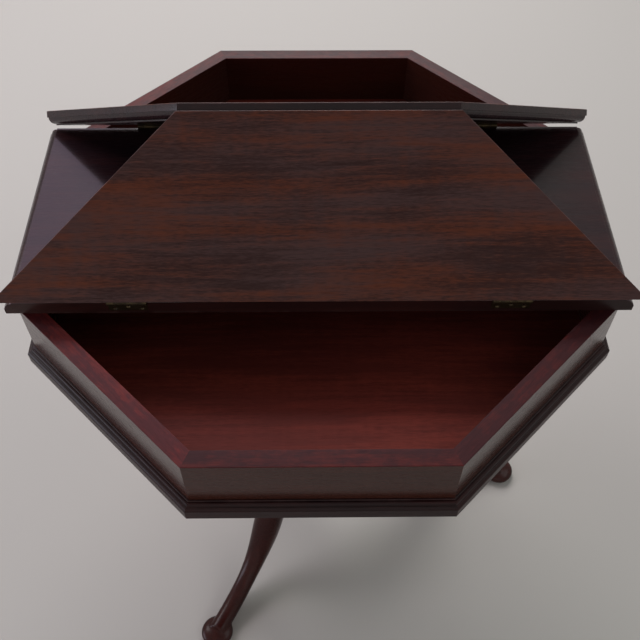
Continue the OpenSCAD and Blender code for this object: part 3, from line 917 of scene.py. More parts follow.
@dataclass
class Hinges:
    """Butt hinges let into the cut edges of the strip and the lids."""

    x: float = 0.185
    length: float = 0.038
    leaf_w: float = 0.0135
    leaf_t: float = 0.0016
    knuckle_r: float = 0.003
    pin_r: float = 0.0015
    knuckles: int = 5
    gap: float = 0.0002
    clear: float = 0.0003
    pin_fit: float = 0.00005
    screw_r: float = 0.0012
    head_r: float = 0.0023
    screw_l: float = 0.014
    inset: float = 0.006
    stagger: float = 0.0015
    screw_fit: float = 0.0001
    past: float = 0.001
    bore_half: float = 0.0228
    ease: float = 0.00018
    ease_limit: float = 40.0
    round_steps: int = 32
    trough_steps: int = 48
    barrel_steps: int = 40

    @property
    def leaf_top(self) -> float:
        """Distance from the pin's axis to where the flat leaf ends."""
        return self.knuckle_r + self.clear

    def at(self, side: int) -> Matrix:
        """Place of the front hinge on the left (-1) or the right (1)."""
        return Matrix.Translation(TOP.pin + Vector((side * self.x, 0.0, 0.0)))

    def mortises(self, side: int, mirrored: bool) -> list[Mesh]:
        """Makes the cutters of one hinge's mortise.

        Args:
            side: -1 for the left, 1 for the right.
            mirrored: True for the lid's side of the pin.

        Returns:
            The cutters.
        """
        half = self.length / 2
        deepest = (half, TOP.joint / 2 + self.leaf_t, self.knuckle_r)
        pocket = block("pocket", (-half, 0.0, -self.leaf_w), deepest)
        rim = circle(self.leaf_top, self.trough_steps)
        trough = prism("trough", rim, -half - self.gap, half + self.gap, True)
        return [moved(m, self.at(side) @ (FLIP_Y if mirrored else SAME)) for m in (pocket, trough)]

    def screw_points(self) -> list[Vector]:
        """Gives the heads of a leaf's screws, in the hinge's own place.

        Returns:
            The middle of each flat head.
        """
        middle = -(self.leaf_w + self.leaf_top) / 2
        outer = self.length / 2 - self.inset
        rises = {i: middle + self.stagger * (1 - 2 * abs(i)) for i in (-1, 0, 1)}
        return [Vector((i * outer, TOP.joint / 2, z)) for i, z in rises.items()]

    def leaf(self, first: int) -> Mesh:
        """Makes one leaf with its knuckles, with the board on its +Y side.

        Args:
            first: Number of its first knuckle, 0 or 1.

        Returns:
            The leaf.
        """
        half = self.length / 2
        near = TOP.joint / 2
        far = near + self.leaf_t
        plate = block("leaf", (-half, near, -self.leaf_w), (half, far, -self.leaf_top))
        start, end = (degrees(atan2(-sqrt(self.knuckle_r**2 - d**2), d)) for d in (far, near))
        foot = -self.leaf_top - self.clear
        barrel = arc((0.0, 0.0), self.knuckle_r, start, 360 + end, self.barrel_steps)
        outline = [(far, foot), *barrel, (near, foot)]
        step = (self.length - (self.knuckles - 1) * self.gap) / self.knuckles
        starts = [-half + i * (step + self.gap) for i in range(first, self.knuckles, 2)]
        made = carved(plate, [prism("knuckle", outline, x, x + step, True) for x in starts], True)
        wide = circle(self.pin_r + self.pin_fit, self.round_steps)
        cutters = [prism("bore", wide, -self.bore_half, self.bore_half, True)]
        hole = self.screw_r + self.screw_fit
        sink = [(self.head_r + self.screw_fit + self.past, -self.past)]
        sink += [(hole, self.head_r - self.screw_r), (hole, self.leaf_t * 2)]
        for p in self.screw_points():
            rings = [[(p.x + a, p.y + d, p.z + b) for a, b in circle(r, self.round_steps)] for r, d in sink]
            cutters.append(stack("sink", rings))
        bevel = {"width": self.ease, "segments": 1, "limit_method": "ANGLE", "use_clamp_overlap": True}
        bevel |= {"angle_limit": radians(self.ease_limit), "miter_outer": "MITER_ARC"}
        return shaped(carved(made, cutters), [("BEVEL", bevel)])

    def pin_mesh(self) -> Mesh:
        """Makes a pin along X with slightly rounded ends.

        Returns:
            The pin.
        """
        half = self.length / 2
        rounding = ((0.80, 1.0), (0.95, 0.7), (1.0, 0.0))
        ends = [(self.pin_r * share, half - self.ease * (1 - out)) for share, out in rounding]
        profile = [(r, -x) for r, x in ends] + [(r, x) for r, x in reversed(ends)]
        return stack("pin", [[(x, a, b) for a, b in circle(r, self.round_steps)] for r, x in profile])

    def build(self) -> None:
        """Makes the four hinges and puts them on their bodies."""
        for end in End:
            for hand in (-1, 1):
                side = hand if end is End.FRONT else -hand
                label = f"hinge_{end.name.lower()}_{'left' if hand < 0 else 'right'}"
                place = end.turn @ self.at(side)
                leaning = end.turn @ TOP.opened @ self.at(side) @ FLIP_Y
                for part, mesh, matrix, body in (
                    ("strip_leaf", self.leaf(0), place, Body.TABLE),
                    ("lid_leaf", self.leaf(1), leaning, end.body),
                    ("pin", self.pin_mesh(), place, Body.TABLE),
                ):
                    node = f"{label}_{part}"
                    mesh = moved(mesh, matrix)
                    hand_over(f"brass_{node}", mesh, [PALETTE.brass], body, [node])


@dataclass
class TopBoards:
    """The fixed strip and the two lids."""

    hinges: Hinges
    ovolo_steps: int = 12
    arris_steps: int = 3
    least_cut: float = 0.05
    cut_limit: float = 1e-6
    facing: float = 0.3

    def edge(self, underside: float, low: float) -> list[Point2]:
        """Gives the moulded edge as inset from the top's edge and height.

        Args:
            underside: Height of the board's underside.
            low: Radius of the lower arris.

        Returns:
            The points, from the top face down and round to the underside.
        """
        ease = TOP.arris
        ledge = TOP.height - TOP.quirk_h
        fillet = ledge - TOP.ovolo_r
        inset = TOP.quirk_w + TOP.ovolo_r + TOP.fillet_ledge
        steps = self.arris_steps
        return [
            *arc((inset + ease, TOP.height - ease), ease, 90, 180, steps),
            (inset, ledge),
            *arc((inset - TOP.quirk_w, fillet), TOP.ovolo_r, 90, 180, self.ovolo_steps),
            *arc((ease, fillet - ease), ease, 90, 180, steps),
            *arc((low, underside + low), low, 180, 270, steps),
        ]

    def octagon(self, inset: float, z: float) -> list[Vector]:
        """Gives the top's outline with slightly rounded corners.

        Args:
            inset: Distance from the top's widest outline.
            z: Its height.

        Returns:
            The points, three at each corner.
        """
        far = TOP.width / 2 - inset - TOP.corner_r
        near = TOP.end_half - (inset + TOP.corner_r) * HALF_SIDE
        ring = []
        for k in range(8):
            quarter = Matrix.Rotation(radians(90 * (k // 2)), 2)
            centre = quarter @ Vector((near, far) if k % 2 else (far, near))
            for bend in (0.0, 22.5, 45.0):
                c, s = cos_sin(45 * k + bend)
                ring.append(Vector((centre.x + TOP.corner_r * c, centre.y + TOP.corner_r * s, z)))
        return ring

    def slab(self, name: str, underside: float, low: float, cuts: Sequence[Point2]) -> Mesh:
        """Makes the moulded octagon and keeps what lies between the cuts.

        Args:
            name: The mesh's name.
            underside: Height of its underside.
            low: Radius of its lower arris.
            cuts: Place of each cut along Y, and the side that goes (-1 or 1).

        Returns:
            The board.
        """
        mesh = stack(name, [self.octagon(inset, z) for inset, z in self.edge(underside, low)])
        work = bmesh.new()
        work.from_mesh(mesh)
        for y, gone in cuts:
            everything = [*work.verts, *work.edges, *work.faces]
            plane = {"plane_co": (0, y, 0), "plane_no": (0, gone, 0), "clear_outer": True}
            done = bmesh.ops.bisect_plane(work, geom=everything, **plane)
            seam = [g for g in done["geom_cut"] if isinstance(g, bmesh.types.BMEdge)]
            bmesh.ops.contextual_create(work, geom=seam)
            flat = [e for e in work.edges if all(abs(v.co.y - y) < self.cut_limit for v in e.verts)]
            long = [e for e in flat if e.calc_length() > self.least_cut]
            ease = {"offset": TOP.arris, "segments": 2, "profile": 0.5, "clamp_overlap": True}
            bmesh.ops.bevel(work, geom=long, affect="EDGES", **ease)
        bmesh.ops.recalc_face_normals(work, faces=work.faces)
        work.to_mesh(mesh)
        work.free()
        return mesh

    def build(self) -> None:
        """Makes the strip and the lids and puts them on their bodies."""
        half = TOP.strip_half
        strip = self.slab("strip", TOP.rim_z, TOP.arris, [(-half, -1), (half, 1)])
        cutters = []
        for side in (-1, 1):
            cutters += self.hinges.mortises(side, False)
            cutters += [moved(m, End.REAR.turn) for m in self.hinges.mortises(side, False)]
        strip = set_grain(carved(strip, cutters), Board.STRIP.value)
        mark_faces(strip, [(0.0, -1.0, 0.0), (0.0, 1.0, 0.0)], self.facing)
        finishes = [PALETTE.top, PALETTE.edge, PALETTE.edge]
        hand_over("moulded_strip", strip, finishes, Body.TABLE, ["top_strip"])
        for end in End:
            lid = self.slab("lid", TOP.rim_z + TOP.seat_gap, TOP.lid_arris, [(-half - TOP.joint, 1)])
            lid = carved(lid, [m for side in (-1, 1) for m in self.hinges.mortises(side, True)])
            set_grain(lid, Board.LIDS.value + end.value / 90)
            mark_faces(lid, [(0.0, 0.0, -1.0), (0.0, 1.0, 0.0)], self.facing)
            moved(lid, end.turn @ TOP.opened)
            node = end.body.value
            finishes = [PALETTE.top, PALETTE.inner, PALETTE.edge]
            hand_over(f"moulded_{node}", lid, finishes, end.body, [node])


@dataclass
class Box:
    """Walls and base moulding of the shallow well."""

    rim_arris: float = 0.0007
    foot_arris: float = 0.0006
    base_h: float = 0.0215
    base_out: float = 0.0092
    band_h: float = 0.0135
    cove_r: float = 0.0034
    bead_r: float = 0.0009
    slope: float = 0.0028
    slope_turn: float = 62.0
    facing: float = 0.1
    sides:tuple[str, ...] = (
        "front", "front_right", "right", "rear_right", "rear", "rear_left", "left", "front_left",
    )

    @property
    def outer(self) -> float:
        """Distance from the axis to the outside of the walls."""
        return TOP.width / 2 - TOP.overhang

    def mitred(self, name: str, profile: Sequence[Point2], finish: Finish) -> Mesh:
        """Makes an octagonal frame of eight boards, mitred at their ends, with their grain along them.

        Args:
            name: The mesh's name.
            profile: Their section, as distance from the axis and height.
            finish: Their finish.

        Returns:
            The frame.
        """
        front = stack(name, [[(s * r * HALF_SIDE, -r, z) for r, z in profile] for s in (-1, 1)])
        return round_axis(set_grain(front, Board.BOX.value), len(self.sides), finish)

    def wall_profile(self) -> list[Point2]:
        """Gives the section of a wall board.

        Returns:
            Its points.
        """
        outer, inner = self.outer, self.outer - TOP.wall_t
        ease, foot = self.rim_arris, self.foot_arris
        return [
            (outer - foot, TOP.wall_z),
            (outer, TOP.wall_z + foot),
            *arc((outer - ease, TOP.rim_z - ease), ease, 0, 90, 3),
            *arc((inner + ease, TOP.rim_z - ease), ease, 90, 180, 3),
            (inner, TOP.wall_z),
        ]

    def base_profile(self) -> list[Point2]:
        """Gives the section of the base moulding, from its foot out and up to the bead.

        Returns:
            Its points.
        """
        ease, bead = self.foot_arris, self.bead_r
        cove_x = self.base_out - self.slope
        cove_y = self.band_h + self.slope
        turn = 90 - self.slope_turn
        (low_c, low_s), (high_c, _) = cos_sin(turn), cos_sin(self.slope_turn)
        bulge = self.slope / (low_c - high_c)
        centre = (self.base_out - bulge * low_c, self.band_h - bulge * low_s)
        points = [
            (0.0, 0.0),
            *arc((self.base_out - ease, ease), ease, -90, 0, 3),
            *arc(centre, bulge, turn, self.slope_turn, 8),
            *arc((cove_x, cove_y + self.cove_r), self.cove_r, -92, -180, 10),
            (bead, cove_y + self.cove_r),
            *arc((bead, self.base_h - bead), bead, -90, 90, 8),
            (0.0, self.base_h),
        ]
        return [(self.outer + x, TOP.wall_z + y) for x, y in points]

    def build(self) -> None:
        """Makes the walls and the base moulding."""
        walls = self.mitred("wall", self.wall_profile(), PALETTE.box)
        mark_faces(walls, [(0.0, 0.0, 1.0)], self.facing)
        nodes = [f"wall_{side}" for side in self.sides]
        hand_over("mitred_walls", walls, [PALETTE.box, PALETTE.rim], Body.TABLE, nodes)
        base = self.mitred("base", self.base_profile(), PALETTE.moulding)
        nodes = [f"base_moulding_{side}" for side in self.sides]
        hand_over("base_mouldings", base, [PALETTE.moulding], Body.TABLE, nodes)


@dataclass
class Column:
    """The turned column."""

    drum_r: float = 0.033
    drum_z: float = 0.1215
    drum_h: float = 0.076
    ring_r: float = 0.038
    ring_h: float = 0.009
    vase_r: float = 0.032
    neck_r: float = 0.014
    neck_bead_r: float = 0.020
    bead_h: float = 0.008
    collar_r: float = 0.042
    collar_h: float = 0.006
    collar_lip: float = 0.003
    tenon_r: float = 0.018
    block_t: float = 0.022
    vase_share: float = 0.26
    neck_share: float = 0.70
    flare: float = 0.006
    shaft_step: float = 0.005
    segments: int = 112
    run_steps: int = 26

    @property
    def top_z(self) -> float:
        """Height of the bottom board's underside, where the tenon ends."""
        return TOP.wall_z + TOP.bottom_recess

    @staticmethod
    def bead(radius: float, z: float, height: float) -> list[Point2]:
        """Gives a half-round bead from its radius, its foot's height and its own height."""
        half = height / 2
        return [(radius - half * (1 - c), z + half * (1 + s)) for c, s in map(cos_sin, range(-60, 61, 10))]

    def run(self, start: Point2, end: Point2) -> list[Point2]:
        """Gives an eased run from one radius and height to another."""
        rise, shares = end[1] - start[1], [k / self.run_steps for k in range(1, self.run_steps + 1)]
        return [(start[0] + (end[0] - start[0]) * t * t * (3 - 2 * t), start[1] + rise * t) for t in shares]

    def outline(self) -> list[Point2]:
        """Gives radius and height of the column, from the drum's foot to the tenon's top.

        Returns:
            The points.
        """
        block_z = self.top_z - self.block_t
        ring_z = self.drum_z + self.drum_h
        shaft = block_z - ring_z
        shaft_r = self.neck_r + self.flare
        shaft_z = ring_z + self.ring_h + self.shaft_step
        vase = (self.vase_r, ring_z + shaft * self.vase_share)
        neck = (self.neck_r, ring_z + shaft * self.neck_share)
        flare_z = neck[1] + 1.5 * self.bead_h
        cup_z = block_z - self.collar_h - self.bead_h - self.collar_lip
        capital_z = cup_z + self.collar_lip - 1.5 * self.bead_h
        cup_r = self.collar_r - self.collar_lip
        cup_w, cup_h = cup_r - self.neck_bead_r, self.bead_h + self.collar_lip
        return [
            (self.drum_r - TOP.arris, self.drum_z),
            (self.drum_r, self.drum_z + TOP.arris),
            (self.drum_r, ring_z),
            *self.bead(self.ring_r, ring_z, self.ring_h),
            (shaft_r + self.flare, ring_z + self.ring_h),
            (shaft_r, shaft_z),
            *self.run((shaft_r, shaft_z), vase),
            *self.run(vase, neck),
            *self.bead(self.neck_bead_r, neck[1], self.bead_h),
            (self.neck_r, flare_z),
            *self.run((self.neck_r, flare_z), (shaft_r, capital_z)),
            *self.bead(self.neck_bead_r + self.flare, capital_z, self.bead_h),
            *[(cup_r - cup_w * c, cup_z + cup_h * s) for c, s in map(cos_sin, range(0, 91, 9))],
            (self.collar_r, block_z - self.collar_h),
            (self.collar_r, block_z),
            (self.tenon_r, block_z),
            (self.tenon_r, self.top_z),
        ]

    def build(self, slots: Sequence[Mesh]) -> None:
        """Turns the column and cuts the legs' slots.

        Args:
            slots: Cutters of the dovetail slots, which are used up.
        """
        mesh = carved(turned("column", self.outline(), self.segments, PALETTE.pedestal), slots)
        set_grain(mesh, Board.COLUMN.value, Matrix(((0, 0, 1), (1, 0, 0), (0, 1, 0))).to_4x4())
        hand_over("turned_column", mesh, [PALETTE.pedestal], Body.TABLE, ["column"])


@dataclass
class Legs:
    """Three cabriole legs on pad feet, dovetailed into the column's drum."""

    column: Column
    reach: float = 0.292
    pad_r: float = 0.0225
    sole_r: float = 0.0165
    pad_h: float = 0.018
    pad_sunk: float = 0.004
    width: float = 0.036
    shoulder_d: float = 0.070
    root_in: float = 0.007
    shoulder_pull: Point2 = (0.078, 0.002)
    knee: Point2 = (0.143, 0.104)
    knee_slope: Point2 = (0.022, -0.040)
    knee_pull: float = 1.24
    knee_w: float = 0.039
    knee_d: float = 0.039
    ankle_w: float = 0.025
    ankle_d: float = 0.023
    ankle_pull: Point2 = (0.200, 0.014)
    shoulder_share: float = 0.3
    ankle_share: float = 0.7
    oval_power: float = 0.85
    tenon_d: float = 0.011
    tenon_neck: float = 0.012
    tenon_root: float = 0.017
    tenon_h: float = 0.060
    tenon_fit: float = 0.00015
    tenon_past: float = 0.002
    slot_below: float = 0.001
    seat_l: float = 0.056
    floor_l: float = 0.5
    floor_w: float = 0.2
    past: float = 0.01
    grain_fall: float = 14.0
    voxel: float = 0.0014
    smooth: float = 0.6
    smooth_runs: int = 10
    sides: int = 48
    pad_sides: int = 64
    drum_sides: int = 128
    upper_steps: int = 40
    lower_steps: int = 56

    @staticmethod
    def ease(start: float, end: float, share: float) -> float:
        """Eased blend from one value to another."""
        share = min(1.0, max(0.0, share))
        return start + (end - start) * share * share * (3 - 2 * share)

    @staticmethod
    def cubic(points: np.ndarray, t: float) -> tuple[np.ndarray, np.ndarray]:
        """Gives the place and the direction on a cubic curve.

        Args:
            points: Its four control points.
            t: Share along it.

        Returns:
            The place and the unit direction.
        """
        s = 1 - t
        place = s**3 * points[0] + 3 * t * s * s * points[1] + 3 * t * t * s * points[2] + t**3 * points[3]
        steps = np.diff(points, axis=0)
        way = s * s * steps[0] + 2 * t * s * steps[1] + t * t * steps[2]
        return place, way / np.linalg.norm(way)

    def ring(self, points: np.ndarray, t: float, width: float, depth: float) -> list[Vector]:
        """Gives one oval ring of the leg, square to its centre line.

        Args:
            points: The centre line's control points.
            t: Share along it.
            width: The ring's width.
            depth: The ring's depth.

        Returns:
            Its points.
        """
        place, way = self.cubic(points, t)
        ring = []
        for k in range(self.sides):
            turn = 2 * pi * k / self.sides
            c, s = cos(turn), sin(turn)
            side = copysign(abs(c) ** self.oval_power, c) * width / 2
            up = copysign(abs(s) ** self.oval_power, s) * depth / 2
            ring.append(Vector((place[0] - way[1] * up, side, place[1] + way[0] * up)))
        return ring

    def sweep(self) -> Mesh:
        """Makes the leg's curved body, from inside the drum to inside the pad.

        Returns:
            The body.
        """
        middle = self.column.drum_z + self.shoulder_d / 2
        pull, rise = self.shoulder_pull
        knee, slope = np.array(self.knee), np.array(self.knee_slope)
        start = np.array([self.column.drum_r - self.root_in, middle])
        upper = np.array([start, [pull, middle + rise], knee - self.knee_pull * slope, knee])
        lower = np.array([knee, knee + slope, self.ankle_pull, [self.reach, self.ankle_d / 2]])
        rings = []
        for i in range(self.upper_steps + 1):
            t = i / self.upper_steps
            late = (t - self.shoulder_share) / (1 - self.shoulder_share)
            depth = self.ease(self.shoulder_d, self.knee_d, late)
            rings.append(self.ring(upper, t, self.ease(self.width, self.knee_w, t), depth))
        for i in range(1, self.lower_steps + 1):
            t = i / self.lower_steps
            share = t / self.ankle_share
            depth = self.ease(self.knee_d, self.ankle_d, share)
            rings.append(self.ring(lower, t, self.ease(self.knee_w, self.ankle_w, share), depth))
        return stack("leg", rings)

    def pad(self) -> Mesh:
        """Makes the pad foot, drawn a little below the floor so that its sole can be cut flat.

        Returns:
            The foot.
        """
        half = self.pad_h / 2
        spread = self.pad_r - self.sole_r
        outline = [
            (self.sole_r, -self.pad_sunk),
            *[(self.sole_r + spread * c, half * (1 + s)) for c, s in map(cos_sin, range(-90, 1, 10))],
            *[(self.pad_r * c, half * (1 + s)) for c, s in map(cos_sin, range(10, 86, 5))],
        ]
        rings = [[(self.reach + a, b, z) for a, b in circle(r, self.pad_sides)] for r, z in outline]
        return stack("pad", rings)

    def dovetail(self, grow: float) -> Mesh:
        """Makes a leg's dovetail, its root towards the axis.

        Args:
            grow: Clearance by which it is grown.

        Returns:
            The prism, which reaches a little past the drum's face.
        """
        drum = self.column.drum_r
        foot = drum - self.tenon_d - grow
        face = drum + self.tenon_past
        spread = (self.tenon_root - self.tenon_neck) / 2 / self.tenon_d * (face - foot)
        neck = self.tenon_neck / 2 + grow - spread * (face - drum) / (face - foot)
        outline = [(foot, -neck - spread), (face, -neck), (face, neck), (foot, neck + spread)]
        low = self.column.drum_z - (self.slot_below if grow else 0.0)
        return prism("dovetail", outline, low, self.column.drum_z + self.tenon_h + grow)

    def slots(self) -> list[Mesh]:
        """Makes the cutters of the three slots in the drum."""
        return [moved(self.dovetail(self.tenon_fit), about_z(turn)) for turn in (0, 120, 240)]

    def build(self) -> None:
        """Carves one leg, repeats it and puts the three on the table."""
        voxels = {"mode": "VOXEL", "voxel_size": self.voxel, "use_smooth_shade": True}
        modifiers = [("REMESH", voxels), ("SMOOTH", {"factor": self.smooth, "iterations": self.smooth_runs})]
        leg = shaped(carved(self.sweep(), [self.pad()], True), modifiers)
        drum = prism("drum", circle(self.column.drum_r, self.drum_sides), 0.0, TOP.height)
        seat = block("seat", (0.0, -self.width, -self.past), (self.seat_l, self.width, self.column.drum_z))
        room = self.floor_w / 2
        floor = block("floor", (0.0, -room, -room), (self.floor_l, room, 0.0))
        leg = carved(carved(leg, [drum, seat, floor]), [self.dovetail(0.0)], True)
        set_grain(leg, Board.LEGS.value, Matrix.Rotation(radians(self.grain_fall), 4, "Y"))
        legs = round_axis(leg, 3, PALETTE.pedestal)
        nodes = ["leg_right", "leg_rear_left", "leg_front_left"]
        hand_over("cabriole_legs", legs, [PALETTE.pedestal], Body.TABLE, nodes)


@dataclass
class Screws:
    """Countersunk slotted screws, one piece for each group."""

    hinges: Hinges
    slot_share: float = 0.4
    slot_reach: float = 3.0
    throat_share: float = 0.9
    shank_share: float = 0.9
    sunk_share: float = 0.2
    faces: int = 28
    shank_r: float = 0.002
    head_r: float = 0.004
    cleats: Point3 = (0.267, 0.075, 0.574)
    bearer: Point2 = (0.071, 0.496)
    spider: Point2 = (0.044, 0.119)
    lengths: Point3 = (0.029, 0.031, 0.019)
    seed: int = 3
    hinge_seed: int = 11

    def shape(self, screws: Repeater) -> Wire:
        """Adds the nodes that put a screw on every point.

        Args:
            screws: The tree's start.

        Returns:
            The screws.
        """
        tree, given = screws.tree, screws.given
        shank_r, head_r, length = (given[name] for name in ("Shank Radius", "Head Radius", "Length"))
        deep = head_r - shank_r
        throat = shank_r * self.throat_share
        cone = {"Vertices": self.faces, "Radius Top": throat, "Radius Bottom": head_r, "Depth": deep}
        head = tree.add("GeometryNodeMeshCone", cone)
        rod = {"Vertices": self.faces, "Radius": shank_r, "Depth": length * self.shank_share}
        shank = tree.add("GeometryNodeMeshCylinder", rod)
        lift = {2: length * (self.shank_share / 2) + deep * self.sunk_share}
        lift = tree.add("ShaderNodeCombineXYZ", lift)
        shank = tree.add("GeometryNodeTransform", {"Geometry": shank, "Translation": lift})
        bar = {0: head_r * self.slot_reach, 1: shank_r * self.slot_share, 2: deep}
        slot = tree.add("GeometryNodeMeshCube", {"Size": tree.add("ShaderNodeCombineXYZ", bar)})
        both = tree.add("GeometryNodeMeshBoolean", operation="UNION")
        for part in (head, shank):
            tree.tree.links.new(part.socket, both.socket.node.inputs["Mesh 2"])
        cut = tree.add("GeometryNodeMeshBoolean", {"Mesh 1": both, "Mesh 2": slot}, operation="DIFFERENCE")
        axis = tree.add("GeometryNodeInputNamedAttribute", {"Name": "axis"}, data_type="FLOAT_VECTOR")
        aim = tree.add("FunctionNodeAlignRotationToVector", {"Vector": axis}, axis="Z")
        chance = {2: 0.0, 3: pi, "Seed": given["Seed"]}
        angle = tree.add("FunctionNodeRandomValue", chance, 1, data_type="FLOAT")
        spin = tree.add("FunctionNodeAxisAngleToRotation", {"Axis": (0.0, 0.0, 1.0), "Angle": angle})
        rotation = tree.add("FunctionNodeRotateRotation", {0: aim, 1: spin}, rotation_space="LOCAL")
        inputs = {"Points": given["Geometry"], "Instance": cut, "Rotation": rotation}
        return tree.add("GeometryNodeInstanceOnPoints", inputs)

    def group(
        self, node: str, heads: Sequence[Sequence[float]], axes: Sequence[Sequence[float]], sizes: Point3,
        body: Body, seed: int,
    ) -> None:
        """Makes one group of screws.

        Args:
            node: The CAD node they stand for.
            heads: Where each flat head lies.
            axes: The way each shank points.
            sizes: Shank radius, head radius and length.
            body: The body they move with.
            seed: Seed of the slots' turns.
        """
        points = bpy.data.meshes.new(node)
        points.from_pydata([tuple(h) for h in heads], [], [])
        layer = points.attributes.new("axis", "FLOAT_VECTOR", "POINT")
        layer.data.foreach_set("vector", [c for a in axes for c in a])
        names = ("Shank Radius", "Head Radius", "Length")
        screws = Repeater("screws", *((name, "Float") for name in names), ("Seed", "Int"))
        values = {**dict(zip(names, sizes)), "Seed": seed}
        mesh = tidied(screws.run(points, self.shape(screws), PALETTE.screw, values))
        hand_over(f"slotted_{node}", mesh, [PALETTE.screw], body, [node])

    def build(self) -> None:
        """Makes every group of screws."""
        hinges = self.hinges
        small = (hinges.screw_r, hinges.head_r, hinges.screw_l)
        inward = Vector((0.0, 1.0, 0.0))
        for end in End:
            parts = (("strip", SAME, SAME, Body.TABLE), ("lid", TOP.opened, FLIP_Y, end.body))
            for number, (part, carry, mirror, body) in enumerate(parts):
                heads, axes = [], []
                for side in (-1, 1):
                    place = end.turn @ carry @ hinges.at(side) @ mirror
                    heads += [place @ p for p in hinges.screw_points()]
                    axes += [(place.to_3x3() @ inward).normalized()] * 3
                node = f"{end.name.lower()}_{part}_hinge_screws"
                self.group(node, heads, axes, small, body, self.hinge_seed + end.value + number)
        x, y, z = self.cleats
        at, block_z = self.bearer
        spread, plate_z = self.spider
        arms = [(spread * c, spread * s, plate_z) for c, s in map(cos_sin, (0, 120, 240))]
        groups = {
            "strip_screws": [(a, b, z) for a in (-x, x) for b in (-y, 0.0, y)],
            "bearer_screws": [(a, b, block_z) for a in (-at, at) for b in (-at, at)],
            "spider_screws": [(0.0, 0.0, plate_z), *arms],
        }
        for number, (node, heads) in enumerate(groups.items()):
            sizes = (self.shank_r, self.head_r, self.lengths[number])
            up = [(0.0, 0.0, 1.0)] * len(heads)
            self.group(node, heads, up, sizes, Body.TABLE, self.seed + number)


@dataclass
class CadNodes:
    """Nodes of the frame that show as they are and get a finish."""

    plain: tuple[str, ...] = ("cleat_left", "cleat_right", "glue_blocks", "bearer_block", "tenon_wedge")

    def build(self) -> None:
        """Puts each finish on its node."""
        finishes = {"bottom_board": PALETTE.well, **{name: PALETTE.plain for name in self.plain}}
        finishes["iron_spider"] = PALETTE.iron
        for name, finish in finishes.items():
            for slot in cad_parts[name].material_slots:
                slot.material = finish.material()
            LOG.info("%s: dressed as %s", name, finish.name)


@dataclass(frozen=True)
class Panel:
    """A soft light that faces the table."""

    name: str
    azimuth: float
    elevation: float
    size: Point2
    glow: float
    tint: Colour = (1.0, 1.0, 1.0)
    away: float = 3.2
    mirrored: bool = True
    aim_z: float = 0.55

    def hang(self) -> None:
        """Hangs the light. Its glow is its radiance, and mirrored ones show in polished surfaces."""
        data = bpy.data.lights.new(self.name, "AREA")
        data.shape = "RECTANGLE"
        data.size, data.size_y = self.size
        data.energy = self.glow * pi * data.size * data.size_y
        data.color = self.tint
        light = linked(self.name, data)
        way = heading(self.azimuth, self.elevation)
        light.rotation_euler = (-way).to_track_quat("-Z", "Y").to_euler()
        light.location = way * self.away + Vector((0.0, 0.0, self.aim_z))
        light.visible_camera = False
        light.visible_glossy = self.mirrored


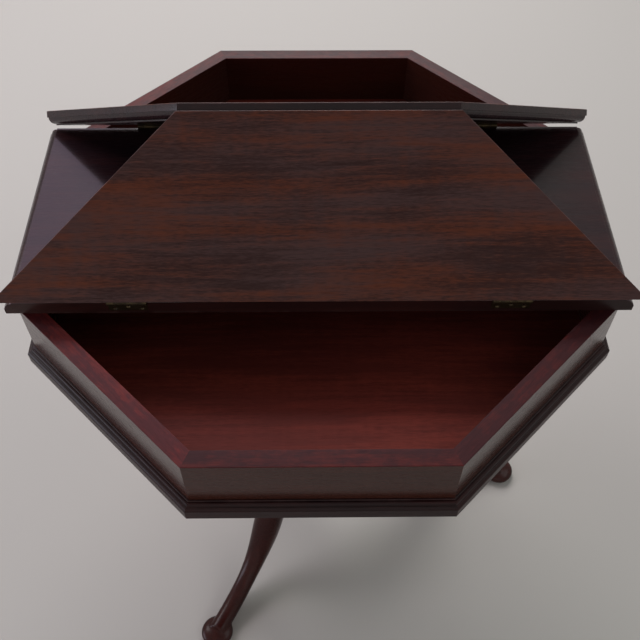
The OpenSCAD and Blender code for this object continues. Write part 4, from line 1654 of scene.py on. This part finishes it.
@dataclass
class Studio:
    """Camera, soft light and a plain pale floor."""

    eye: Point3 = (-0.00790, -0.6320, 1.2511)
    yaw: float = 0.907
    pitch: float = 52.97
    roll: float = -0.40
    lens: float = 47.82
    floor_r: float = 9.0
    floor_sides: int = 96
    floor_colour: Colour = (0.60, 0.57, 0.53)
    air: float = 0.08
    air_colour: Colour = (0.80, 1.0, 1.05)
    backdrop: Colour = (0.52, 0.50, 0.475)
    floor_fade: Point2 = (1.65, 2.9)
    panels: tuple[Panel, ...] = (
        Panel("back_high", 0.0, 47.0, (1.6, 1.4), 5.8, (1.0, 0.99, 0.99)),
        Panel("back_low", 0.0, 26.0, (2.2, 0.9), 3.9, (1.0, 1.0, 0.99)),
        Panel("left_back", -62.0, 40.0, (1.2, 1.2), 4.3, (1.0, 0.99, 0.985)),
        Panel("left_low", -98.0, 9.0, (2.1, 1.6), 3.4, (0.93, 0.95, 1.12), away=3.8),
        Panel("left_veil", -38.0, 47.0, (1.6, 1.4), 1.68, (1.0, 0.76, 1.08)),
        Panel("right_fill", 92.0, 45.0, (2.2, 1.4), 1.2),
        Panel("front_fill", 180.0, 5.0, (3.6, 0.6), 3.6, (1.0, 0.97, 0.93), mirrored=False),
        Panel("front_veil", 180.0, 29.0, (2.6, 1.3), 0.30, (1.0, 1.0, 1.04)),
    )

    def camera(self) -> None:
        """Makes the camera and sets it as the scene's."""
        ahead = heading(self.yaw, -self.pitch)
        (c, s), (level, tilt) = cos_sin(self.yaw), cos_sin(self.roll)
        right = Vector((c, -s, 0.0))
        down = ahead.cross(right)
        x_axis = level * right + tilt * down
        y_axis = tilt * right - level * down
        lens = bpy.data.cameras.new("camera")
        lens.lens = self.lens
        lens.sensor_width = 36.0
        lens.clip_start = 0.05
        camera = linked("camera", lens)
        turn = Matrix((x_axis, y_axis, -ahead)).transposed().to_4x4()
        camera.matrix_world = Matrix.Translation(self.eye) @ turn
        bpy.context.scene.camera = camera

    def floor(self) -> None:
        """Makes the pale floor, which runs into the backdrop far from the table."""
        material = bpy.data.materials.new("pale_floor")
        material.use_nodes = True
        tree = Tree(material.node_tree)
        surface = {"Base Color": (*self.floor_colour, 1.0), "Roughness": 0.9, "Specular IOR Level": 0.1}
        lit = tree.add("ShaderNodeBsdfPrincipled", surface)
        away = tree.add("ShaderNodeVectorMath", {0: tree.place()}, "Value", operation="LENGTH")
        pale = tree.add("ShaderNodeEmission", {"Color": (*self.backdrop, 1.0), "Strength": 1.0})
        share = away.within(*self.floor_fade) * tree.background_rays()
        mixed = tree.add("ShaderNodeMixShader", {0: share, 1: lit, 2: pale})
        tree.add("ShaderNodeOutputMaterial", {"Surface": mixed})
        mesh = bpy.data.meshes.new("pale_floor")
        rim = [(x, y, 0.0) for x, y in circle(self.floor_r, self.floor_sides)]
        mesh.from_pydata(rim, [], [tuple(range(self.floor_sides))])
        mesh.materials.append(material)
        linked("pale_floor", mesh)

    def sky(self) -> None:
        """Makes the dim air that lights the table, and the pale backdrop that shows behind it."""
        world = bpy.data.worlds.new("pale_air")
        world.use_nodes = True
        tree = Tree(world.node_tree)
        air, pale = (
            tree.add("ShaderNodeBackground", {"Color": (*colour, 1.0), "Strength": strength})
            for colour, strength in ((self.air_colour, self.air), (self.backdrop, 1.0))
        )
        mixed = tree.add("ShaderNodeMixShader", {0: tree.background_rays(), 1: air, 2: pale})
        tree.add("ShaderNodeOutputWorld", {"Surface": mixed})
        bpy.context.scene.world = world

    def build(self) -> None:
        """Sets up the camera, the world, the floor and the lights."""
        self.camera()
        bpy.context.scene.view_settings.view_transform = "Standard"
        self.sky()
        self.floor()
        for panel in self.panels:
            panel.hang()


def main() -> None:
    """Builds the scene piece by piece."""
    logging.basicConfig(level=logging.INFO, format="%(name)s: %(message)s")
    Studio().build()
    hinges = Hinges()
    TopBoards(hinges).build()
    hinges.build()
    Box().build()
    column = Column()
    legs = Legs(column)
    column.build(legs.slots())
    legs.build()
    Screws(hinges).build()
    CadNodes().build()
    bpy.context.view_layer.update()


if __name__ == "__main__":
    main()
